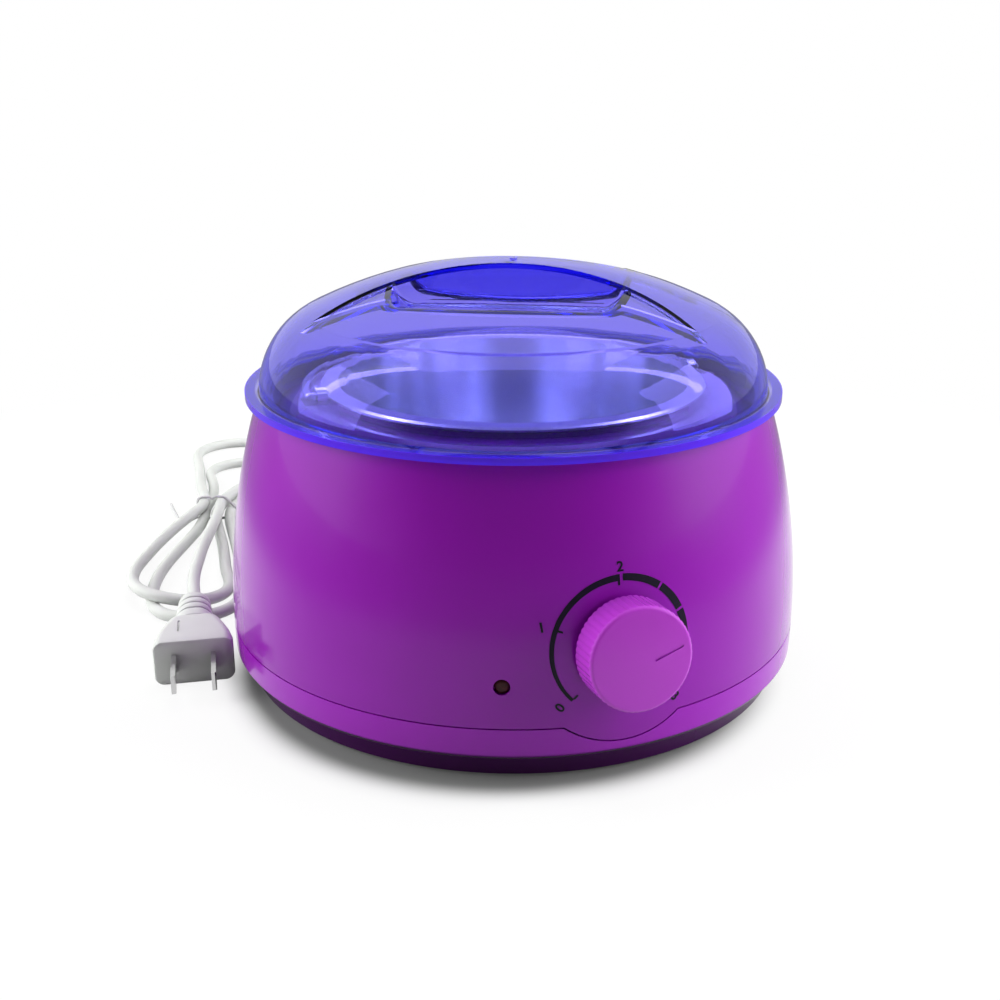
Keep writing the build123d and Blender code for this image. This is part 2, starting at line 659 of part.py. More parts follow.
probe_y = -18.0
fuse_y = 16.0
save("probe_clip", saddle(probe_y, PROBE_R, 6.0))
save("fuse_clip", saddle(fuse_y, PROBE_R, 5.0))
fuse_axis = Plane(origin=(0, fuse_y, PROBE_Z), x_dir=(0, 1, 0), z_dir=(1, 0, 0))
probe_axis = Plane(origin=(0, probe_y, PROBE_Z), x_dir=(0, 1, 0), z_dir=(1, 0, 0))
fuse = rod(PROBE_R, 32, fuse_axis.offset(-16))
fuse = fillet(fuse.edges().filter_by(GeomType.CIRCLE), 0.8)
save("thermal_fuse", fuse)

# ---------------------------------------------------------------- thermostat
body_front = pad_back - 1.0
body_back = body_front - THERMO_D
thermo = extrude(dial.offset(body_back) * RectangleRounded(THERMO_W, THERMO_H, 3.0), THERMO_D)
thermo -= rod(SHAFT_R + FIT, 9.0, dial.offset(body_front - 8.6))
thermo -= rod(SHAFT_R + 1.6, 3.0, dial.offset(body_front - 8.6))
save("thermostat_body", thermo)
bush = rod(6.8, 1.0, dial.offset(body_front))
bush += rod(BUSH_R, BUSH_REACH - body_front, dial.offset(body_front))
bush -= rod(SHAFT_R + RUN, 20, dial.offset(body_front - 1))
save("thermostat_bush", bush)
hexnut = extrude(dial.offset(-0.6) * RegularPolygon(6.9, 6), 2.4)
hexnut = hexnut - rod(BUSH_R + RUN, 6, dial.offset(-2))
save("thermostat_nut", hexnut)

cap_top = KNOB_LIFT + KNOB_H
web_under = cap_top - KNOB_WALL - 0.6
shaft_end = web_under - 0.4
flat = 0.7
shaft = rod(SHAFT_R, shaft_end - body_front + 8.0, dial.offset(body_front - 8.0))
shaft += rod(SHAFT_R + 1.2, 1.8, dial.offset(body_front - 8.0))
flat_cut = Pos(0, SHAFT_R - flat + 2) * Rectangle(2 * SHAFT_R + 2, 4)
shaft -= extrude(dial.offset(BUSH_REACH + 0.3) * flat_cut, 20)
save("thermostat_shaft", shaft)

blades = []
for side in (-1, 1):
    tab = Box(0.8, 6.3, 7.5, align=(Align.CENTER, Align.CENTER, Align.MAX))
    blades.append(dial.offset(body_back) * (Pos(side * 7.0, 0, 0) * tab))
save("thermostat_terminals", Compound(children=blades))

cap_start = (dial.offset(body_back + 4) * Pos(0, -THERMO_H / 2 + 0.2, 0)).position
probe = rod(PROBE_R, 40, probe_axis.offset(-20))
tail = [
    (20, probe_y, PROBE_Z),
    (32, probe_y - 2, PROBE_Z),
    (34, probe_y - 24, PROBE_Z - 1.5),
    (12, -(SEAM_R - 33), PROBE_Z - 3),
    (cap_start.X, cap_start.Y, cap_start.Z - 4),
    (cap_start.X, cap_start.Y, cap_start.Z),
]
probe += lead(0.8, tail, [5.0, 8.0, 6.0, 2.5])
probe -= thermo
save("thermostat_probe", probe)

# ---------------------------------------------------------------- knob
crown_r = (KNOB_R ** 2 + KNOB_CROWN ** 2) / (2 * KNOB_CROWN)
edge_z = KNOB_H - KNOB_EDGE
face_z = KNOB_H + KNOB_CROWN
crown_turn = degrees(asin(KNOB_R / crown_r))
knob_half = make_face([
    Polyline((0, face_z), (0, 0), (KNOB_R, 0), (KNOB_R, KNOB_H)),
    CenterArc((0, face_z - crown_r), crown_r, 90 - crown_turn, crown_turn),
])
outer_corner = knob_half.vertices().sort_by(Axis.X)[-2:].sort_by(Axis.Y)[-1]
knob_half = fillet(outer_corner, KNOB_EDGE)
flutes = PolarLocations(KNOB_R + FLUTE_R * 0.55, FLUTES) * Circle(FLUTE_R)
fluted = extrude(Circle(KNOB_R + 1) - flutes, face_z)
knob = dial.offset(KNOB_LIFT) * (turned_face(knob_half) & fluted)
rim_r = KNOB_R - FLUTE_R
knob -= rod(rim_r - KNOB_WALL, cap_top - KNOB_WALL - KNOB_LIFT, dial.offset(KNOB_LIFT))
hub_low = BUSH_REACH + 0.5
hub = rod(5.4, cap_top - KNOB_WALL / 2 - hub_low, dial.offset(hub_low))
bore_shape = Circle(SHAFT_R + RUN) - Pos(0, RUN) * flat_cut
hub -= extrude(dial.offset(hub_low - 1) * bore_shape, web_under - hub_low + 1)
knob += hub
pointer_length = POINTER_OUT - POINTER_IN
pointer = Pos((POINTER_IN + POINTER_OUT) / 2, -POINTER_SIDE) * SlotOverall(pointer_length, POINTER_W)
pointer = Rot(0, 0, POINTER_ANGLE) * pointer
knob -= extrude(dial.offset(cap_top - 0.5) * pointer, 3)
save("control_knob", knob)

# ---------------------------------------------------------------- pilot light
lens_r = LAMP_R - RUN
lens = rod(lens_r, WALL + 0.2, lamp_axis.offset(-WALL - 0.8))
lens = fillet(lens.edges().filter_by(GeomType.CIRCLE).sort_by(Axis.Y)[0], 1.2)
lens_back = -WALL - 0.8 - 9.0
lens += rod(LAMP_R + 1.6, 0.8, lamp_axis.offset(-WALL - 0.9))
lens += rod(LAMP_R + 0.8, 9.0, lamp_axis.offset(lens_back))
lens -= rod(LAMP_R - 0.1, 8.2, lamp_axis.offset(lens_back))
save("indicator_lens", lens)
bulb = rod(LAMP_R - 0.4, 11.0, lamp_axis.offset(lens_back - 4.0))
bulb = fillet(bulb.edges().filter_by(GeomType.CIRCLE), 1.0)
save("indicator_lamp", bulb)
clip_at = -WALL - 1.8
clip = rod(LAMP_R + 3.0, 0.8, lamp_axis.offset(clip_at))
clip -= rod(LAMP_R + 0.85, 4, lamp_axis.offset(clip_at - 2))
save("lamp_clip", clip)

# ---------------------------------------------------------------- mains entry
block_low = FLOOR_TOP + 3.0
block_h = 9.0
block = Pos(0, block_y, block_low) * Box(26, 15, block_h, align=(Align.CENTER, Align.CENTER, Align.MIN))
block_top = block_low + block_h
pins = []
for spot in GridLocations(14, 8, 2, 2):
    spot = Pos(0, block_y, 0) * spot
    block -= spot * ring(0, 1.7, block_low + 3.0, 30)
    pins.append(spot * ring(0, 1.65, block_low + 3.0, block_top - 0.8))
save("terminal_block", block)
save("terminal_screws", Compound(children=pins))

relief_in = lip_out - LIP_T
relief_out = SEAM_R + 0.1
exit_y = relief_out + RELIEF_LENGTH
cord_r = CORD_D / 2
relief = rod(NECK_R + 1.0, 2.4, cord_axis.offset(relief_in - 2.6))
relief += rod(NECK_R, relief_out - relief_in + 1, cord_axis.offset(relief_in - 0.5))
relief += rod(NECK_R + 1.2, 1.6, cord_axis.offset(relief_out))
taper = loft([
    cord_axis.offset(relief_out + 1.0) * Circle(NECK_R + 0.6),
    cord_axis.offset(exit_y) * Circle(cord_r + 0.7),
])
relief += taper
save("strain_relief", relief)

inner_start = clamp_y - 10.0
inner = rod(cord_r, relief_in - 2.6 - inner_start, cord_axis.offset(inner_start))
save("inner_cord", inner)
clamp = Box(CLAMP_W, CLAMP_L, 3.2, align=(Align.CENTER, Align.CENTER, Align.MIN))
clamp = Pos(0, clamp_y, CORD_Z + 1.0) * clamp
clamp -= rod(cord_r + RUN, 20, cord_axis.offset(clamp_y - 10))
clamp_top = CORD_Z + 4.2
clamp_screws = []
for side in (-1, 1):
    spot = Pos(side * CLAMP_PITCH / 2, clamp_y, 0)
    clamp -= spot * ring(0, 1.5, 0, 40)
    shank = ring(0, 1.15, saddle_top - 4.5, clamp_top + 1)
    clamp_screws.append(spot * (ring(0, 2.6, clamp_top, clamp_top + 1.7) + shank))
save("cord_clamp", clamp)
save("clamp_screws", Compound(children=clamp_screws))

# Leads: cord to block, block to thermostat, thermostat to fuse, fuse to heater, heater back
# to the block, and the lamp across the block
lead_r = 1.0
tab_end = [(dial.offset(body_back - 7.5) * Pos(side * 7.0, 0, 0)).position for side in (-1, 1)]
stud_r = term_r + 6.0
stud = [Vector(stud_r * cos(radians(a)), stud_r * sin(radians(a)), term_z) for a in (60, 120)]
lamp_back = (lamp_axis.offset(lens_back - 4.0)).origin
block_front = block_y + 7.5
block_side = 13.0
runs = [
    ([(-1.2, inner_start, CORD_Z), (-3, inner_start - 4, CORD_Z - 0.6), (-5, block_front, BOARD_Z)], [3.0]),
    ([(1.2, inner_start, CORD_Z), (3, inner_start - 4, CORD_Z - 0.6), (5, block_front, BOARD_Z)], [3.0]),
    ([(-block_side, block_y - 3, BOARD_Z), (-46, 44, BOARD_Z), (-70, -12, BOARD_Z + 2),
      (-40, -64, KNOB_Z - 8), (tab_end[0].X, tab_end[0].Y + 6, tab_end[0].Z),
      (tab_end[0].X, tab_end[0].Y, tab_end[0].Z)], [18.0, 18.0, 10.0, 2.5]),
    ([(tab_end[1].X, tab_end[1].Y, tab_end[1].Z), (tab_end[1].X + 2, tab_end[1].Y + 5, tab_end[1].Z - 6),
      (50, -34, PROBE_Z + 1), (42, fuse_y, PROBE_Z), (16, fuse_y, PROBE_Z)], [3.0, 12.0, 8.0]),
    ([(-16, fuse_y, PROBE_Z), (-44, fuse_y + 4, PROBE_Z - 1), (-42, 62, PROBE_Z + 8),
      (stud[1].X - 1, stud[1].Y + 3, term_z - 12), (stud[1].X, stud[1].Y, term_z)], [8.0, 10.0, 5.0]),
    ([(stud[0].X, stud[0].Y, term_z), (stud[0].X + 1, stud[0].Y + 3, term_z - 12),
      (30, 68, PROBE_Z - 2), (28, 62, BOARD_Z), (block_side, block_y + 3, BOARD_Z)], [6.0, 6.0, 5.0]),
    ([(lamp_back.X, lamp_back.Y, lamp_back.Z), (lamp_back.X + 1, lamp_back.Y + 6, lamp_back.Z - 8),
      (14, -74, BOARD_Z), (69, -12, BOARD_Z), (46, 44, BOARD_Z), (block_side, block_y - 3, BOARD_Z)],
     [4.0, 12.0, 18.0, 14.0]),
]
wires = []
for points, bends in runs:
    wire = lead(lead_r, points, bends)
    wire -= [*terminals, *blades, block, bulb, fuse, inner]
    wires.append(wire)
save("wiring", Compound(children=wires))

# ---------------------------------------------------------------- cord, hank, tie and plug
hank_waist = Vector(-82.0, 160.0)
near_loop = Vector(-103.0, 75.0)
far_loop = Vector(-62.0, 246.0)
loop_r = 21.0
waist_r = 7.2
waist_circle = Pos(hank_waist.X, hank_waist.Y) * Circle(waist_r)
near = make_hull([*waist_circle.edges(), *(Pos(near_loop.X, near_loop.Y) * Circle(loop_r)).edges()])
far = make_hull([*waist_circle.edges(), *(Pos(far_loop.X, far_loop.Y) * Circle(loop_r)).edges()])
hank = extrude(near + far, HANK_H)
hank = chamfer(hank.edges().group_by(Axis.Z)[-1], 2.0)
lie = degrees(atan2(far_loop.Y - near_loop.Y, far_loop.X - near_loop.X))
at_waist = Pos(hank_waist.X, hank_waist.Y, 0) * Rot(0, 0, lie)
tie_w = 2 * waist_r + 0.9
tie_t = 1.2
hank -= at_waist * Pos(0, 0, tie_t / 2) * Box(3.0, 60, tie_t + 0.1)
tie = Box(2.4, tie_w + 2 * tie_t, HANK_H + tie_t, align=(Align.CENTER, Align.CENTER, Align.MIN))
tie -= Pos(0, 0, tie_t) * Box(4, tie_w, HANK_H - tie_t + 0.1, align=(Align.CENTER, Align.CENTER, Align.MIN))
save("cord_hank", hank)
save("cord_tie", at_waist * tie)

route = [
    (0.0, exit_y, CORD_Z),
    (0.0, exit_y + 14, CORD_Z),
    (-5.0, exit_y + 31, 7.4),
    (-17.0, exit_y + 47, 3.0),
    (-35.0, exit_y + 58, 2.5),
    (-54.0, exit_y + 62, 2.8),
    (-72.0, exit_y + 57, 4.4),
]
bends = route_bends(route)
print("cord bend radii", [round(b, 1) for b in bends])
cord = lead(cord_r, route, bends)
path_length = FilletPolyline(*route, radius=bends).length
print("cord volume", round(cord.volume, 1), "expected", round(pi * cord_r ** 2 * path_length, 1))
save("power_cord", cord - hank)

plug_at = (-109.2, 4.4, PLUG_H / 2)
plug_turn = radians(7.0)
plug_rise = radians(1.5)
plug_axis = Plane(
    origin=plug_at,
    x_dir=(-cos(plug_turn), sin(plug_turn), 0),
    z_dir=(sin(plug_turn) * cos(plug_rise), cos(plug_turn) * cos(plug_rise), sin(plug_rise)),
)
plug = loft([
    plug_axis * RectangleRounded(PLUG_W, PLUG_H, 3.2),
    plug_axis.offset(PLUG_L * 0.35) * RectangleRounded(PLUG_W * 0.95, PLUG_H * 0.99, 4.2),
    plug_axis.offset(PLUG_L * 0.7) * RectangleRounded(PLUG_W * 0.76, PLUG_H * 0.9, 5.2),
    plug_axis.offset(PLUG_L) * RectangleRounded(2 * RING_R + 1.4, 2 * RING_R + 0.6, RING_R),
], ruled=True)
neck_r = RING_R - 1.0
plug += rod(neck_r, PLUG_NECK, plug_axis.offset(PLUG_L))
ring_step = PLUG_NECK / NECK_RINGS
for i in range(NECK_RINGS):
    collar = rod(RING_R - 0.3 * i, ring_step * 0.66, plug_axis.offset(PLUG_L + i * ring_step + 0.8))
    plug += fillet(collar.edges().filter_by(GeomType.CIRCLE), 0.7)
groove = Pos(PLUG_W * 0.16, PLUG_H / 2, PLUG_L * 0.45) * Box(0.6, 1.4, PLUG_L * 0.3)
plug -= plug_axis * groove
save("plug_body", plug)
prongs = []
for side in (-1, 1):
    prong = extrude(plug_axis * Pos(side * BLADE_PITCH / 2, 0) * Rectangle(BLADE_T, BLADE_W), -BLADE_L)
    prong = chamfer(prong.edges().group_by(Axis.Y)[0], 0.4)
    prongs.append(prong)
save("plug_blades", Compound(children=prongs))
plug_end = plug_axis.offset(PLUG_L + PLUG_NECK).origin
into_hank = (near_loop.X - 0.5, near_loop.Y - loop_r + 8.0, HANK_H / 2 + 1.5)
run = Vector(*into_hank) - plug_end
plug_cord = rod(cord_r, run.length, Plane(origin=plug_end, z_dir=run.normalized()))
save("plug_lead", plug_cord - hank - plug)
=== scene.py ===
from math import asin, cos, pi, radians, sin, sqrt

import bpy
import bmesh
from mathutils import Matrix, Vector


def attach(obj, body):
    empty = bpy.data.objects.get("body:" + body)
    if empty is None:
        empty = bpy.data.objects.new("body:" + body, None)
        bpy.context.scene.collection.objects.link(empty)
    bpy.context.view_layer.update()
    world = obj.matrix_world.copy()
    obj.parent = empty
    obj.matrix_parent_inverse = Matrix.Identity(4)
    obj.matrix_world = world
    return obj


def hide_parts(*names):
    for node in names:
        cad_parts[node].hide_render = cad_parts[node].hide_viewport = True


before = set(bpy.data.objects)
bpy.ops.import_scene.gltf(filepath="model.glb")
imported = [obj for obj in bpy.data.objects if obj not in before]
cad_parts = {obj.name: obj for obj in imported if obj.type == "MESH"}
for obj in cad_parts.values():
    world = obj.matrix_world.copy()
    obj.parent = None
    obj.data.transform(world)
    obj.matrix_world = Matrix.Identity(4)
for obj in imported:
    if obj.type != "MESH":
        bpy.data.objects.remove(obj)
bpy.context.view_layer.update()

# A round wax warmer. The CAD nodes get their materials here, and the cord, its wire tie, the plug's
# body, the knob and the printed dial are drawn. Blender works in metres; drawn pieces are given in
# millimetres.
MM = 0.001

# ------------------------------------------------------------------ camera
VIEW_TURN = radians(-19.0)      # the camera looks from 19 degrees left of the knob's axis
AXIS_SHIFT = 0.00427            # the object's axis stands this far right of the camera's middle line
CAMERA_PLACE = (0.0, -0.4187, 0.2014)
CAMERA_PITCH = radians(70.5)    # 90 degrees would look level


def seen(x, y, z):
    """A point given in the camera's upright frame (x right, y away), in the object's frame."""
    x -= AXIS_SHIFT
    turn_cos, turn_sin = cos(VIEW_TURN), sin(VIEW_TURN)
    return Vector((x * turn_cos - y * turn_sin, x * turn_sin + y * turn_cos, z))


def direction(x, y, z):
    """A direction given in the camera's upright frame, in the object's frame."""
    return seen(x, y, z) - seen(0.0, 0.0, 0.0)


camera_data = bpy.data.cameras.new("camera")
camera_data.lens = 47.12
camera_data.sensor_width = 36.0
camera_data.clip_start = 0.01
camera = bpy.data.objects.new("camera", camera_data)
bpy.context.scene.collection.objects.link(camera)
camera.location = seen(*CAMERA_PLACE)
camera.rotation_euler = (CAMERA_PITCH, 0.0, VIEW_TURN)
bpy.context.scene.camera = camera
bpy.context.scene.view_settings.view_transform = "Standard"

# The lid's two skins and the pot under it take many bounces
cycles = bpy.context.scene.cycles
cycles.max_bounces = 24
cycles.glossy_bounces = 12
cycles.transmission_bounces = 24
cycles.caustics_reflective = False


# ------------------------------------------------------------------ pieces
def add(name, data):
    """Puts a new object with this mesh, curve or lamp into the scene."""
    piece = bpy.data.objects.new(name, data)
    bpy.context.scene.collection.objects.link(piece)
    return piece


def dress(piece, body, material):
    """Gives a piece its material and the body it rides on."""
    piece.data.materials.clear()
    piece.data.materials.append(material)
    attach(piece, body)


def rings_mesh(name, rings):
    """A closed skin over closed rings of the same number of points, in metres."""
    n = len(rings[0])
    faces = []
    for i in range(len(rings) - 1):
        for j in range(n):
            k = (j + 1) % n
            faces.append((i * n + j, i * n + k, (i + 1) * n + k, (i + 1) * n + j))
    faces.append(tuple(reversed(range(n))))
    faces.append(tuple((len(rings) - 1) * n + j for j in range(n)))
    mesh = bpy.data.meshes.new(name)
    mesh.from_pydata([tuple(p) for ring in rings for p in ring], [], faces)
    skin = bmesh.new()
    skin.from_mesh(mesh)
    bmesh.ops.recalc_face_normals(skin, faces=skin.faces)
    skin.to_mesh(mesh)
    skin.free()
    return mesh


def as_mesh(piece):
    """The piece's evaluated mesh, as new data."""
    bpy.context.view_layer.update()
    return bpy.data.meshes.new_from_object(piece.evaluated_get(bpy.context.evaluated_depsgraph_get()))


def cut(piece, cutter, crease):
    """Takes the cutter's form out of the piece and shades its edges sharp above an angle."""
    tool = add("cutter", cutter)
    trim = piece.modifiers.new("cut", "BOOLEAN")
    trim.operation = "DIFFERENCE"
    trim.solver = "EXACT"
    trim.object = tool
    mesh = as_mesh(piece)
    mesh.name = piece.name
    piece.modifiers.clear()
    piece.data = mesh
    bpy.data.objects.remove(tool)
    mesh.polygons.foreach_set("use_smooth", [True] * len(mesh.polygons))
    mesh.set_sharp_from_angle(angle=radians(crease))


def wire_piece(name, points, radius, roundness, steps):
    """A round wire along a NURBS spline with these control points, in millimetres."""
    curve = bpy.data.curves.new(name, "CURVE")
    curve.dimensions = "3D"
    curve.bevel_depth = radius * MM
    curve.bevel_resolution = roundness
    curve.resolution_u = steps
    curve.use_fill_caps = True
    spline = curve.splines.new("NURBS")
    spline.points.add(len(points) - 1)
    for point, co in zip(spline.points, points):
        point.co = (*[c * MM for c in co], 1.0)
    spline.order_u = 3
    spline.use_endpoint_u = True
    return add(name, curve)


# ------------------------------------------------------------------ shader nodes
def feed(tree, socket, value):
    """Sets a socket to a plain value, or links it to another node's output."""
    if isinstance(value, bpy.types.NodeSocket):
        tree.links.new(value, socket)
    else:
        socket.default_value = value


def math_node(tree, operation, *values, clamp=False):
    """A math node over outputs or numbers; gives its output."""
    node = tree.nodes.new("ShaderNodeMath")
    node.operation = operation
    node.use_clamp = clamp
    for socket, value in zip(node.inputs, values):
        feed(tree, socket, value)
    return node.outputs[0]


def vector_node(tree, operation, a, b=None):
    """A vector math node; gives its number or, for a subtraction, its vector."""
    node = tree.nodes.new("ShaderNodeVectorMath")
    node.operation = operation
    feed(tree, node.inputs[0], a)
    if b is not None:
        feed(tree, node.inputs[1], b)
    return node.outputs["Vector" if operation == "SUBTRACT" else "Value"]


def map_range(tree, value, start, end, low=0.0, high=1.0, kind="SMOOTHSTEP"):
    """Carries a value from the range start to end onto low to high; gives its output."""
    node = tree.nodes.new("ShaderNodeMapRange")
    node.interpolation_type = kind
    for name, number in (("From Min", start), ("From Max", end), ("To Min", low), ("To Max", high)):
        node.inputs[name].default_value = number
    tree.links.new(value, node.inputs["Value"])
    return node.outputs["Result"]


def mixed(tree, kind, factor, a, b):
    """Blends two colours (RGBA) or two numbers (FLOAT) by a factor; gives its output."""
    node = tree.nodes.new("ShaderNodeMix")
    node.data_type = kind
    tree.links.new(factor, node.inputs["Factor"])
    feed(tree, node.inputs["A"], a)
    feed(tree, node.inputs["B"], b)
    return node.outputs["Result"]


def mixed_shaders(tree, factor, a, b):
    """Blends two shaders by a factor; gives its output."""
    node = tree.nodes.new("ShaderNodeMixShader")
    for socket, source in zip(node.inputs, (factor, a, b)):
        tree.links.new(source, socket)
    return node.outputs["Shader"]


def srgb(r, g, b):
    """Linear colour from 8-bit display values."""
    linear = []
    for v in (r / 255.0, g / 255.0, b / 255.0):
        linear.append(v / 12.92 if v <= 0.04045 else ((v + 0.055) / 1.055) ** 2.4)
    return tuple(linear)


def shade(color, k):
    """The colour made darker or lighter by a factor."""
    return tuple(min(1.0, c * k) for c in color)


class Shader:
    """A node material around one Principled shader, textured in object space."""

    def __init__(self, name, color, rough, metallic=0.0, coat=0.0):
        self.mat = bpy.data.materials.new(name)
        self.mat.use_nodes = True
        self.tree = self.mat.node_tree
        self.bsdf = self.tree.nodes["Principled BSDF"]
        self.set("Base Color", (*color, 1.0))
        self.set("Roughness", rough)
        self.set("Metallic", metallic)
        self.set("Coat Weight", coat)
        self.place = self.tree.nodes.new("ShaderNodeTexCoord").outputs["Object"]
        self.relief = None

    def set(self, socket, value):
        """Sets a socket of the Principled shader to a value or an output."""
        feed(self.tree, self.bsdf.inputs[socket], value)

    def texture(self, kind, scale, stretch=(1, 1, 1), **values):
        """A texture's outputs; scale is its repeats per metre."""
        mapping = self.tree.nodes.new("ShaderNodeMapping")
        mapping.inputs["Scale"].default_value = stretch
        self.tree.links.new(self.place, mapping.inputs["Vector"])
        node = self.tree.nodes.new(kind)
        node.inputs["Scale"].default_value = scale
        for key, value in values.items():
            node.inputs[key].default_value = value
        self.tree.links.new(mapping.outputs["Vector"], node.inputs["Vector"])
        return node.outputs

    def noise(self, scale, detail=2.0, stretch=(1, 1, 1)):
        """Clouded noise from 0 to 1."""
        return self.texture("ShaderNodeTexNoise", scale, stretch, Detail=detail)["Fac"]

    def cells(self, scale):
        """Distance to the middle of each cell of a crystal pattern."""
        return self.texture("ShaderNodeTexVoronoi", scale)["Distance"]

    def axis(self, letter):
        """The place along X, Y or Z, in metres."""
        split = self.tree.nodes.new("ShaderNodeSeparateXYZ")
        self.tree.links.new(self.place, split.inputs["Vector"])
        return split.outputs[letter]

    def radius(self):
        """The distance from the upright axis, in metres."""
        x, y = self.axis("X"), self.axis("Y")
        squares = [math_node(self.tree, "MULTIPLY", side, side) for side in (x, y)]
        return math_node(self.tree, "SQRT", math_node(self.tree, "ADD", *squares))

    def vary(self, socket, factor, low, high):
        """Moves a socket between two numbers or two colours by a factor from 0 to 1."""
        if isinstance(low, tuple):
            self.set(socket, mixed(self.tree, "RGBA", factor, (*low, 1.0), (*high, 1.0)))
        else:
            self.set(socket, map_range(self.tree, factor, 0.0, 1.0, low, high, "LINEAR"))

    def tint(self, factor, color):
        """Blends the varied base colour into another one."""
        so_far = self.bsdf.inputs["Base Color"].links[0].from_socket
        self.set("Base Color", mixed(self.tree, "RGBA", factor, so_far, (*color, 1.0)))

    def bump(self, factor, strength, distance):
        """Adds relief over what is there already; distance is its height in metres."""
        node = self.tree.nodes.new("ShaderNodeBump")
        node.inputs["Strength"].default_value = strength
        node.inputs["Distance"].default_value = distance
        self.tree.links.new(factor, node.inputs["Height"])
        if self.relief:
            self.tree.links.new(self.relief, node.inputs["Normal"])
        self.relief = node.outputs["Normal"]
        self.set("Normal", self.relief)


# ------------------------------------------------------------------ materials
PURPLE = srgb(134, 16, 160)
SEAT_EDGE, SEAT_FULL = 0.0818, 0.0808       # radii between which the painted shade on the pot's seat sets in
TRAY_EDGE, SKIRT_TOP = 0.0104, 0.0092       # heights between which the painted shade on the skirt sets in
SEAT_PAINTED_SHADE, SKIRT_PAINTED_SHADE, TRAY_PAINTED_LIGHT = 0.4, 0.2, 1.2     # against the casing's purple: painted shade on the seat and the skirt, painted light on the tray


def moulded(name, color, rough, coat, grain=0.02):
    """Glossy moulded plastic: faint flow marks, uneven gloss and a fine orange peel."""
    s = Shader(name, color, rough, coat=coat)
    s.set("Coat Roughness", 0.06)
    s.set("Coat IOR", 1.32)
    s.set("IOR", 1.32)
    s.vary("Base Color", s.noise(14.0, 2.0, (1, 1, 2.5)), shade(color, 0.94), shade(color, 1.06))
    s.vary("Roughness", s.noise(55.0, 3.0), rough * 0.85, rough * 1.15)
    s.bump(s.noise(420.0, 1.0), grain, 0.0004)
    return s


def casing_plastic():
    """The casing; the pot's seat inside the rim gets a painted shade, a deeper purple than the outside.
    """
    s = moulded("casing_plastic", PURPLE, 0.2, 0.7)
    painted_seat_shade = map_range(s.tree, s.radius(), SEAT_EDGE, SEAT_FULL, kind="LINEAR")
    s.tint(painted_seat_shade, shade(PURPLE, SEAT_PAINTED_SHADE))
    return s.mat


def tray_plastic():
    """The tray: its purple is lighter than the casing's as painted light, and the recessed skirt below
    its edge gets a painted shade, a darker purple.
    """
    s = moulded("tray_plastic", shade(PURPLE, TRAY_PAINTED_LIGHT), 0.21, 0.6)
    painted_skirt_shade = map_range(s.tree, s.axis("Z"), TRAY_EDGE, SKIRT_TOP, kind="LINEAR")
    s.tint(painted_skirt_shade, shade(PURPLE, SKIRT_PAINTED_SHADE))
    return s.mat


# The flange's deep and bright blues, and its lower see-through share, are painted glow for the light it
# gathers
LID_CLEAR, FLANGE_PAINTED_DEEP_GLOW, FLANGE_PAINTED_BRIGHT_GLOW = srgb(240, 238, 255), srgb(62, 36, 205), srgb(102, 44, 255)
FLANGE_TOP, FLANGE_FACE = (0.0828, 0.0838), (0.0863, 0.0867)    # radii where each painted glow sets in


def lid_plastic():
    """Dyed clear plastic. The light its flange gathers from the dome is painted glow: deep blue on top,
    bright blue on its face.
    """
    s = Shader("lid_plastic", LID_CLEAR, 0.03)
    s.set("IOR", 1.49)
    s.vary("Roughness", s.noise(30.0), 0.01, 0.04)
    radius = s.radius()
    flange_glow_mask = map_range(s.tree, radius, *FLANGE_TOP)
    s.vary("Base Color", flange_glow_mask, LID_CLEAR, FLANGE_PAINTED_DEEP_GLOW)
    s.vary("Transmission Weight", flange_glow_mask, 1.0, 0.4)
    s.tint(map_range(s.tree, radius, *FLANGE_FACE), FLANGE_PAINTED_BRIGHT_GLOW)
    dye = s.tree.nodes.new("ShaderNodeVolumeAbsorption")
    dye.inputs["Color"].default_value = (0.13, 0.05, 0.94, 1.0)
    dye.inputs["Density"].default_value = 330.0
    s.tree.links.new(dye.outputs["Volume"], s.tree.nodes["Material Output"].inputs["Volume"])
    return s.mat


def metal(name, color, rough, stretch):
    """Metal with a drawn or brushed grain."""
    s = Shader(name, color, rough, metallic=1.0)
    grain = s.noise(900.0, 3.0, stretch)
    s.vary("Roughness", grain, rough * 0.7, rough * 1.35)
    s.vary("Base Color", grain, shade(color, 0.9), shade(color, 1.05))
    s.bump(grain, 0.08, 0.0002)
    return s.mat


def spun_metal(name, color, rough):
    """Metal spun about the upright axis: fine rings and some clouding."""
    s = Shader(name, color, rough, metallic=1.0)
    s.set("Anisotropic", 0.8)
    s.set("Anisotropic Rotation", 0.25)
    around = s.tree.nodes.new("ShaderNodeCombineXYZ")
    s.tree.links.new(s.radius(), around.inputs["X"])
    s.tree.links.new(s.axis("Z"), around.inputs["Y"])
    rings = s.tree.nodes.new("ShaderNodeTexNoise")
    rings.inputs["Scale"].default_value = 1400.0
    rings.inputs["Detail"].default_value = 2.0
    s.tree.links.new(around.outputs["Vector"], rings.inputs["Vector"])
    s.bump(rings.outputs["Fac"], 0.06, 0.0002)
    cloud = s.noise(40.0, 3.0)
    s.vary("Roughness", cloud, rough * 0.8, rough * 1.3)
    s.vary("Base Color", cloud, shade(color, 0.93), shade(color, 1.03))
    return s.mat


def mica_sheath():
    """Flaked mica round the heater."""
    s = Shader("mica_sheath", srgb(150, 140, 120), 0.7)
    flakes = s.cells(240.0)
    s.vary("Base Color", flakes, srgb(118, 108, 92), srgb(178, 168, 146))
    s.bump(flakes, 0.3, 0.0003)
    return s.mat


